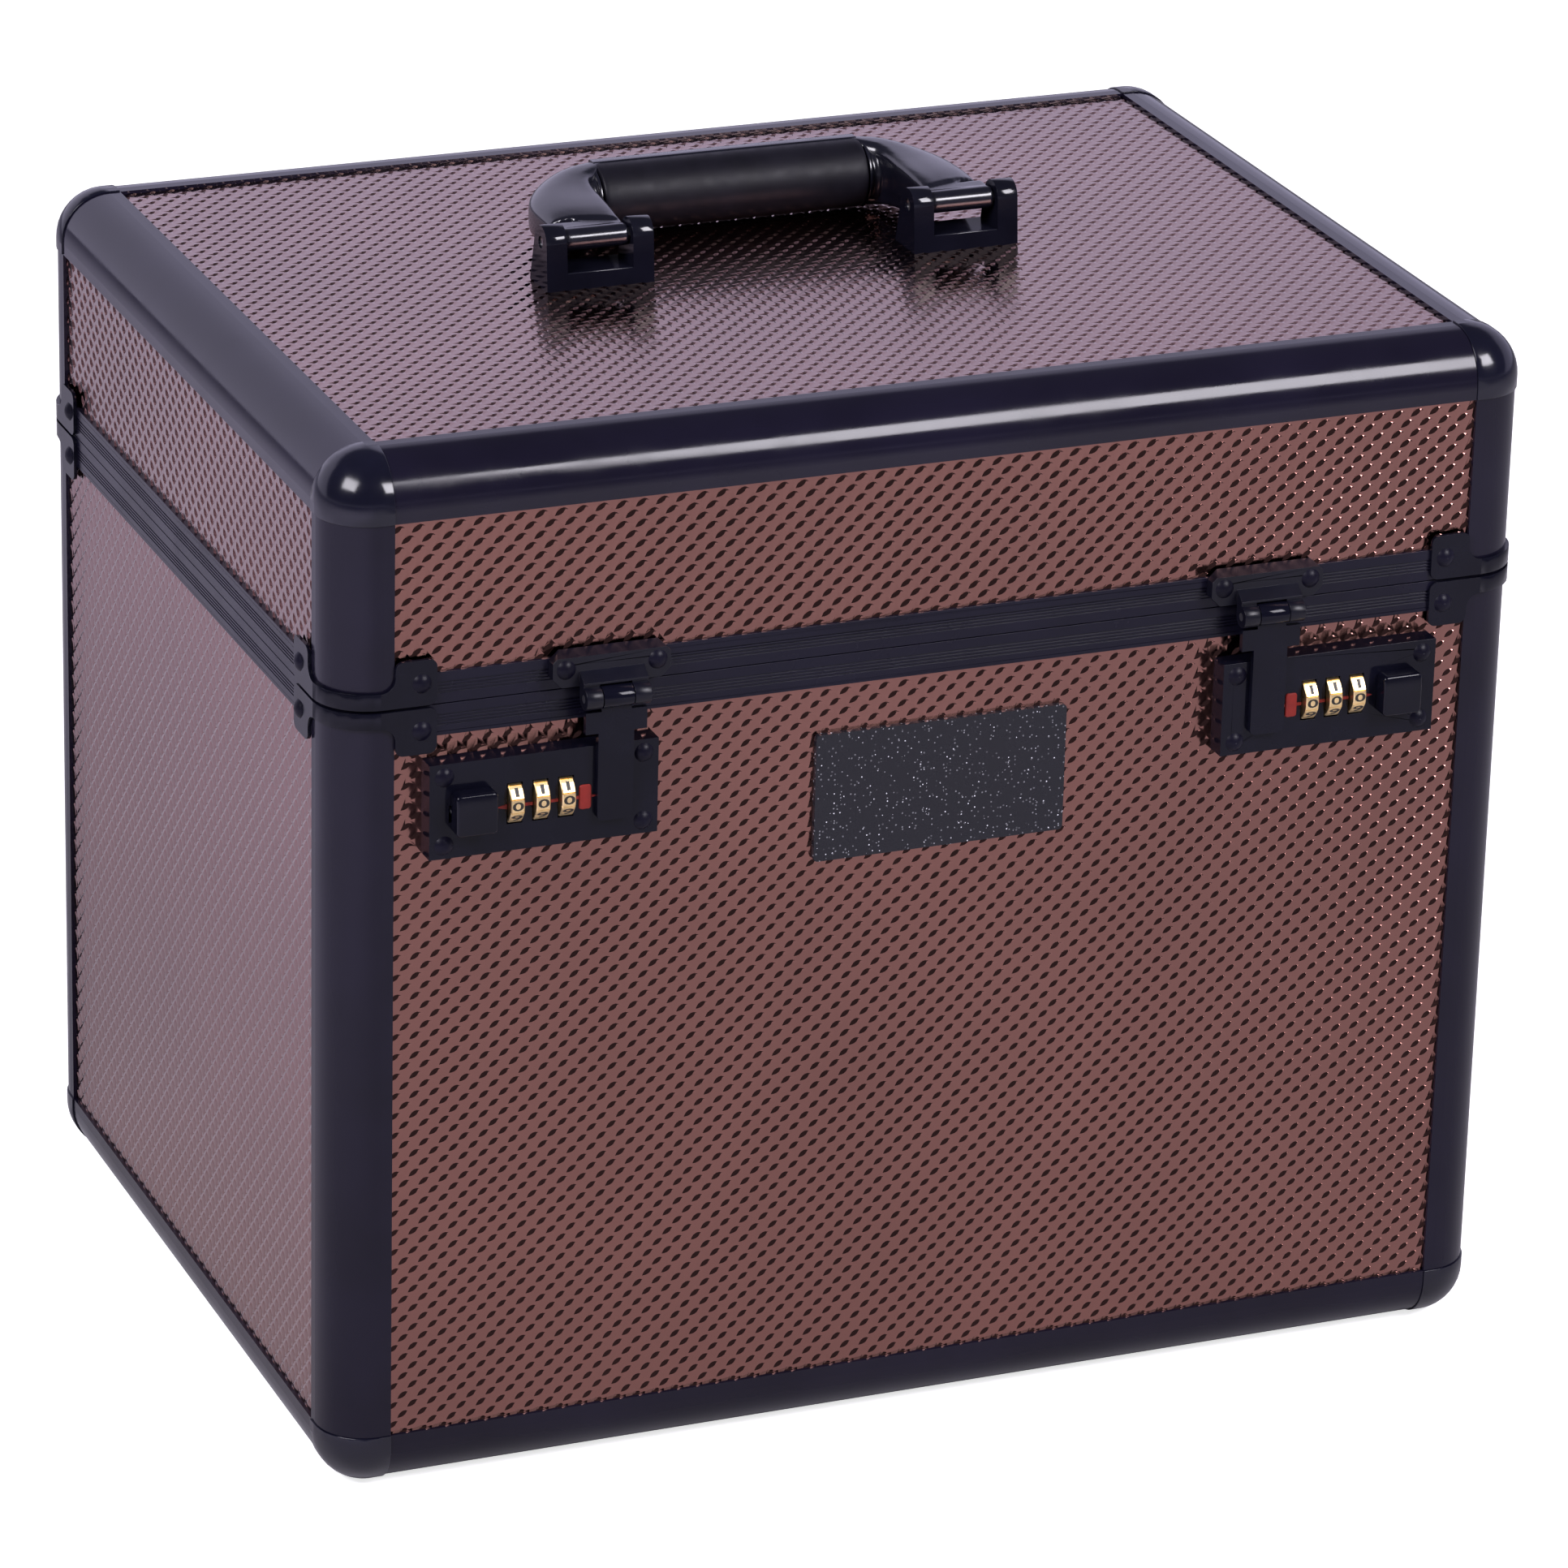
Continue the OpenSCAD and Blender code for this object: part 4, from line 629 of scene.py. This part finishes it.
def arm_rings(sx):
    flat = np.array([(*i, *o, *rest) for i, o, *rest in ARM], float)
    steps = np.linspace(0, len(ARM) - 1, ARM_STEPS)
    rows = np.stack([np.interp(steps, range(len(ARM)), flat[:, c]) for c in range(flat.shape[1])], 1)
    for _ in range(6):
        rows[1:-1] = rows[1:-1] * 0.5 + (rows[:-2] + rows[2:]) * 0.25
    rings = []
    for ix, iy, ox, oy, top, low, mid, crown, back, square in rows:
        inner, outer = np.array((ix, iy)), np.array((ox, oy))
        wide = np.linalg.norm(outer - inner)
        across = (outer - inner) / wide
        ring = []
        for k in range(RING_STEPS):
            a = 2 * math.pi * k / RING_STEPS
            c, s = math.cos(a), math.sin(a)
            power = 2.1 if c > 0 and s > 0 else square
            half = wide * (1 - crown) if c > 0 else wide * crown
            if c < 0 and s < 0:
                half -= back * min(1.0, -3 * s)
            at = inner + across * (wide * crown + half * math.copysign(abs(c) ** (2 / power), c))
            z = mid + (top - mid if s > 0 else mid - low) * math.copysign(abs(s) ** (2 / power), s)
            ring.append((sx * at[0], PIVOT_Y + at[1], PIVOT_Z + z))
        rings.append(ring if sx > 0 else ring[::-1])
    return rings


def moulded_arms():
    """Both arms with the eyes that hold their pins, as one skin."""
    parts = []
    for sx in (-1, 1):
        x0, x1 = sorted((sx * EYE_INNER, sx * EYE_OUTER))
        parts.append((*loft(arm_rings(sx)), 0))
        parts.append((*lathe_x([(x0, EYE_R), (x1, EYE_R)], PIVOT_Y, PIVOT_Z, 48), 0))
        parts.append((*bevelled_box((x0, PIVOT_Y, PIVOT_Z - 3.3), (x1, PIVOT_Y + 8, PIVOT_Z + 3.3), 0.3), 0))
    verts, faces, ids = join_parts(parts)
    obj = add_mesh("arms_rough", verts, faces, [MOULDED], ids)
    mod = obj.modifiers.new("one_skin", "REMESH")
    mod.mode = "VOXEL"
    mod.voxel_size = 0.0006
    even = obj.modifiers.new("even", "SMOOTH")
    even.factor = 0.5
    even.iterations = 8
    bpy.context.view_layer.update()
    me = bpy.data.meshes.new_from_object(obj.evaluated_get(bpy.context.evaluated_depsgraph_get()))
    verts = (np.array([v.co for v in me.vertices], float) / MM).tolist()
    faces = [tuple(p.vertices) for p in me.polygons]
    bpy.data.objects.remove(obj)
    bpy.data.meshes.remove(me)
    return verts, faces


def collar(sx):
    prof = [(46.2, CORE_R), (46.5, CORE_R), (46.5, 10.1), (46.7, 10.5), (47.2, 10.6), (47.6, 10.4),
            (47.8, 9.8), (48.2, 9.6), (49.4, 9.7), (49.9, 10.1), (50.6, 10.4), (51.3, 10.3), (52.2, 9.9),
            (54.0, 9.4), (57.0, 8.6)]
    prof = [(sx * x, r) for x, r in prof]
    return lathe_x(prof if sx > 0 else prof[::-1], GRIP_Y, GRIP_Z, 72)


core = lathe_x([(-CORE_HALF, CORE_R), (CORE_HALF, CORE_R)], GRIP_Y, GRIP_Z, 48)
verts, faces, ids = join_parts([(*moulded_arms(), 0), (*collar(-1), 0), (*collar(1), 0), (*core, 0)])
bail = add_mesh("moulded_bail", verts, faces, [MOULDED], ids, sharp_angle=45)
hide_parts("handle_bail")
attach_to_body(bail, "handle")


def grip_radius(x):
    return 11.24 + 0.1 * math.cos(x / GRIP_HALF * math.pi / 2)


def grip_strip(section):
    """Raised strip along the grip: section holds (degrees behind the top, lift)."""
    rings = []
    for x in np.linspace(-GRIP_HALF, GRIP_HALF, 25):
        ring = []
        for degrees, lift in section:
            r, a = grip_radius(x) + lift, math.radians(degrees)
            ring.append((x, GRIP_Y + r * math.sin(a), GRIP_Z + r * math.cos(a)))
        rings.append(ring)
    return loft(rings)


lip = [(GRIP_HALF, 7.3), (GRIP_HALF, 10.6), (45.8, 11.0), (45.3, 11.2)]
profile = [(-x, r) for x, r in lip] + [(x, grip_radius(x)) for x in np.linspace(-44, 44, 23)] + lip[::-1]
sleeve = lathe_x(profile, GRIP_Y, GRIP_Z, 96)
spine = grip_strip(((5, -0.2), (7, 0.3), (9, 0.42), (24, 1.3), (29, 1.25), (35, -0.2)))
seam = grip_strip(((160, -0.2), (165, 0.12), (175, 0.34), (185, 0.34), (195, 0.12), (200, -0.2)))
verts, faces, ids = join_parts([(*sleeve, 0), (*spine, 1), (*seam, 0)])
grip = add_mesh("rubber_grip", verts, faces, [RUBBER, MOULDED], ids, sharp_angle=45)
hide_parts("handle_grip")
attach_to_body(grip, "handle")


# Bright bead along the front edge of each handle base's floor
def bead(x0, x1, y, z):
    rings = []
    for x, f in ((x0, 0.3), (x0 + 0.5, 1.0), (x1 - 0.5, 1.0), (x1, 0.3)):
        rings.append([(x, y + 0.45 * f * math.cos(math.radians(a)), z + 0.3 * f * math.sin(math.radians(a)))
                      for a in range(0, 360, 24)])
    return loft(rings)


verts, faces, ids = join_parts([(*bead(sx - 11.2, sx + 11.2, -8.7, 348.6), 0) for sx in (-63.2, 63.2)])
beads = add_mesh("base_sill_beads", verts, faces, [MOULDED], ids, sharp_angle=50)
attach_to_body(beads, "lid")


# Materials and softened edges of the solids that stay
LOOKS = {
    PANEL: ["base_panel", "front_panel", "back_panel", "left_panel", "right_panel", "top_panel",
            "lid_front_panel", "lid_back_panel", "lid_left_panel", "lid_right_panel"],
    RAIL: ["lid_rails"],
    POST: ["body_corner_posts", "base_rails", "lid_corner_posts"],
    RIM: ["body_rim", "lid_rim"],
    CAP: ["base_corner_caps", "lid_corner_caps"],
    HARDWARE: ["body_rim_brackets", "lid_rim_brackets", "left_lock_case", "right_lock_case",
               "lock_back_plates", "hinge_body_leaves", "hinge_lid_leaves", "left_hasp", "right_hasp",
               "tray_ledges"],
    PLATE: ["hasp_plates"],
    RIVET: ["body_bracket_rivets", "lid_bracket_rivets", "lock_rivets", "hinge_body_rivets",
            "hinge_lid_rivets", "hasp_rivets"],
    STEEL: ["dial_axles", "left_lock_spring", "right_lock_spring", "hinge_pins", "hasp_pins", "handle_pins",
            "handle_screws"],
    BADGE: ["badge_plate"],
    BASE: ["handle_bases"],
    MOULDED: ["handle_bail"],
    RUBBER: ["handle_grip"],
    BUTTON: ["left_lock_button", "right_lock_button"],
    GOLD: [f"{s}_dial_{k}" for s in ("left", "right") for k in (1, 2, 3)],
    RED: ["lock_markers"],
    FELT: ["body_lining", "lid_lining"],
    TRAY: ["tray", "tray_dividers"],
}
for mat, names in LOOKS.items():
    for name in names:
        slots = nodes[name].material_slots
        if not slots:
            nodes[name].data.materials.append(mat)
        for s in slots:
            s.material = mat


SHARP = math.radians(32)


def soften(name, width):
    obj = nodes[name]
    weld = obj.modifiers.new("weld", "WELD")
    weld.merge_threshold = 0.000002
    mod = obj.modifiers.new("edges", "BEVEL")
    mod.width = width * MM
    mod.segments = 2
    mod.limit_method = "ANGLE"
    mod.angle_limit = SHARP
    mod.harden_normals = True
    mod.use_clamp_overlap = True


for name, width in (("left_lock_case", 0.8), ("right_lock_case", 0.8), ("hasp_plates", 0.5),
                    ("left_hasp", 0.4), ("right_hasp", 0.4), ("body_rim_brackets", 0.4),
                    ("lid_rim_brackets", 0.4), ("handle_bases", 0.6), ("badge_plate", 0.35),
                    ("hinge_body_leaves", 0.25), ("hinge_lid_leaves", 0.25), ("tray", 0.5),
                    ("body_rim", 0.14), ("lid_rim", 0.14), ("base_corner_caps", 0.2),
                    ("lid_corner_caps", 0.2)):
    soften(name, width)


# Floor, light and surroundings
def direct_rays(path):
    """Rays that see the surroundings straight, or through something clear."""
    return path["Is Camera Ray"], path["Is Transmission Ray"]


def make_floor():
    """Pale floor, white to the camera. What the object mirrors of it is dimmer towards the right."""
    bpy.ops.mesh.primitive_plane_add(size=14.0, location=(0, 0, -0.0002))
    floor = bpy.context.object
    floor.name = "floor"
    mat, nt, bsdf = new_material("floor_white")
    bsdf.inputs["Roughness"].default_value = 0.9
    bsdf.inputs["Specular IOR Level"].default_value = 0.0
    path = nt.nodes.new("ShaderNodeLightPath").outputs
    glossy = path["Is Glossy Ray"]
    pale = ramp(nt, noise(nt, 2.0), (0.78, 0.78, 0.79), (0.82, 0.82, 0.83))
    across = map_range(nt, axes(nt, "Object")["X"], -0.5, -0.15)
    mirrored = ramp(nt, across, (0.80, 0.76, 0.90), (0.53, 0.515, 0.53), 0.0, 1.0)
    nt.links.new(mix_color(nt, glossy, pale, mirrored), bsdf.inputs["Base Color"])
    tint = mix_color(nt, glossy, (1, 1, 1, 1), (0.86, 0.84, 1.0, 1))
    nt.links.new(tint, bsdf.inputs["Emission Color"])
    white = maths(nt, "MULTIPLY", maths(nt, "ADD", *direct_rays(path)), 0.75)
    nt.links.new(maths(nt, "MULTIPLY_ADD", glossy, 0.05, white), bsdf.inputs["Emission Strength"])
    floor.data.materials.append(mat)


def make_world():
    """Pale backdrop behind the object and a dim room before it and above; the camera sees white."""
    world = bpy.data.worlds.new("studio")
    scene.world = world
    world.use_nodes = True
    nt = world.node_tree
    part = axes(nt, "Generated")
    behind = maths(nt, "MULTIPLY_ADD", part["X"], 0.35, part["Y"])
    backdrop_top = map_range(nt, behind, 0.0, 0.45, -0.02, 0.58)
    under = maths(nt, "SUBTRACT", backdrop_top, part["Z"])
    soft_edge = map_range(nt, under, -0.10, 0.10, interpolation="SMOOTHSTEP")
    backdrop = ramp(nt, map_range(nt, part["X"], -0.5, 0.6), (1.0, 0.94, 1.24), (0.73, 0.69, 0.96), 0.0, 1.0)
    studio = nt.nodes["Background"]
    nt.links.new(mix_color(nt, soft_edge, (0.09, 0.09, 0.11, 1), backdrop), studio.inputs["Color"])
    studio.inputs["Strength"].default_value = 1.0
    white = nt.nodes.new("ShaderNodeBackground")
    white.inputs["Color"].default_value = (1, 1, 1, 1)
    path = nt.nodes.new("ShaderNodeLightPath").outputs
    mix = nt.nodes.new("ShaderNodeMixShader")
    nt.links.new(maths(nt, "ADD", *direct_rays(path)), mix.inputs["Fac"])
    nt.links.new(studio.outputs["Background"], mix.inputs[1])
    nt.links.new(white.outputs["Background"], mix.inputs[2])
    nt.links.new(mix.outputs["Shader"], nt.nodes["World Output"].inputs["Surface"])


LAMP_WATTS, LAMP_COLOR, LAMP_AIM = 45, (1.0, 0.965, 1.05), Vector((0, 0, 0.2))


def softbox(name, place, size):
    data = bpy.data.lights.new(name, "AREA")
    data.shape = "RECTANGLE"
    data.size, data.size_y = size
    data.energy = LAMP_WATTS
    data.color = LAMP_COLOR
    obj = bpy.data.objects.new(name, data)
    obj.location = place
    obj.rotation_euler = (LAMP_AIM - Vector(place)).to_track_quat("-Z", "Y").to_euler()
    scene.collection.objects.link(obj)


make_floor()
make_world()
softbox("left_box", (-1.52, -0.78, 1.58), (1.05, 0.75))
softbox("right_box", (0.97, -1.49, 1.49), (0.95, 0.70))
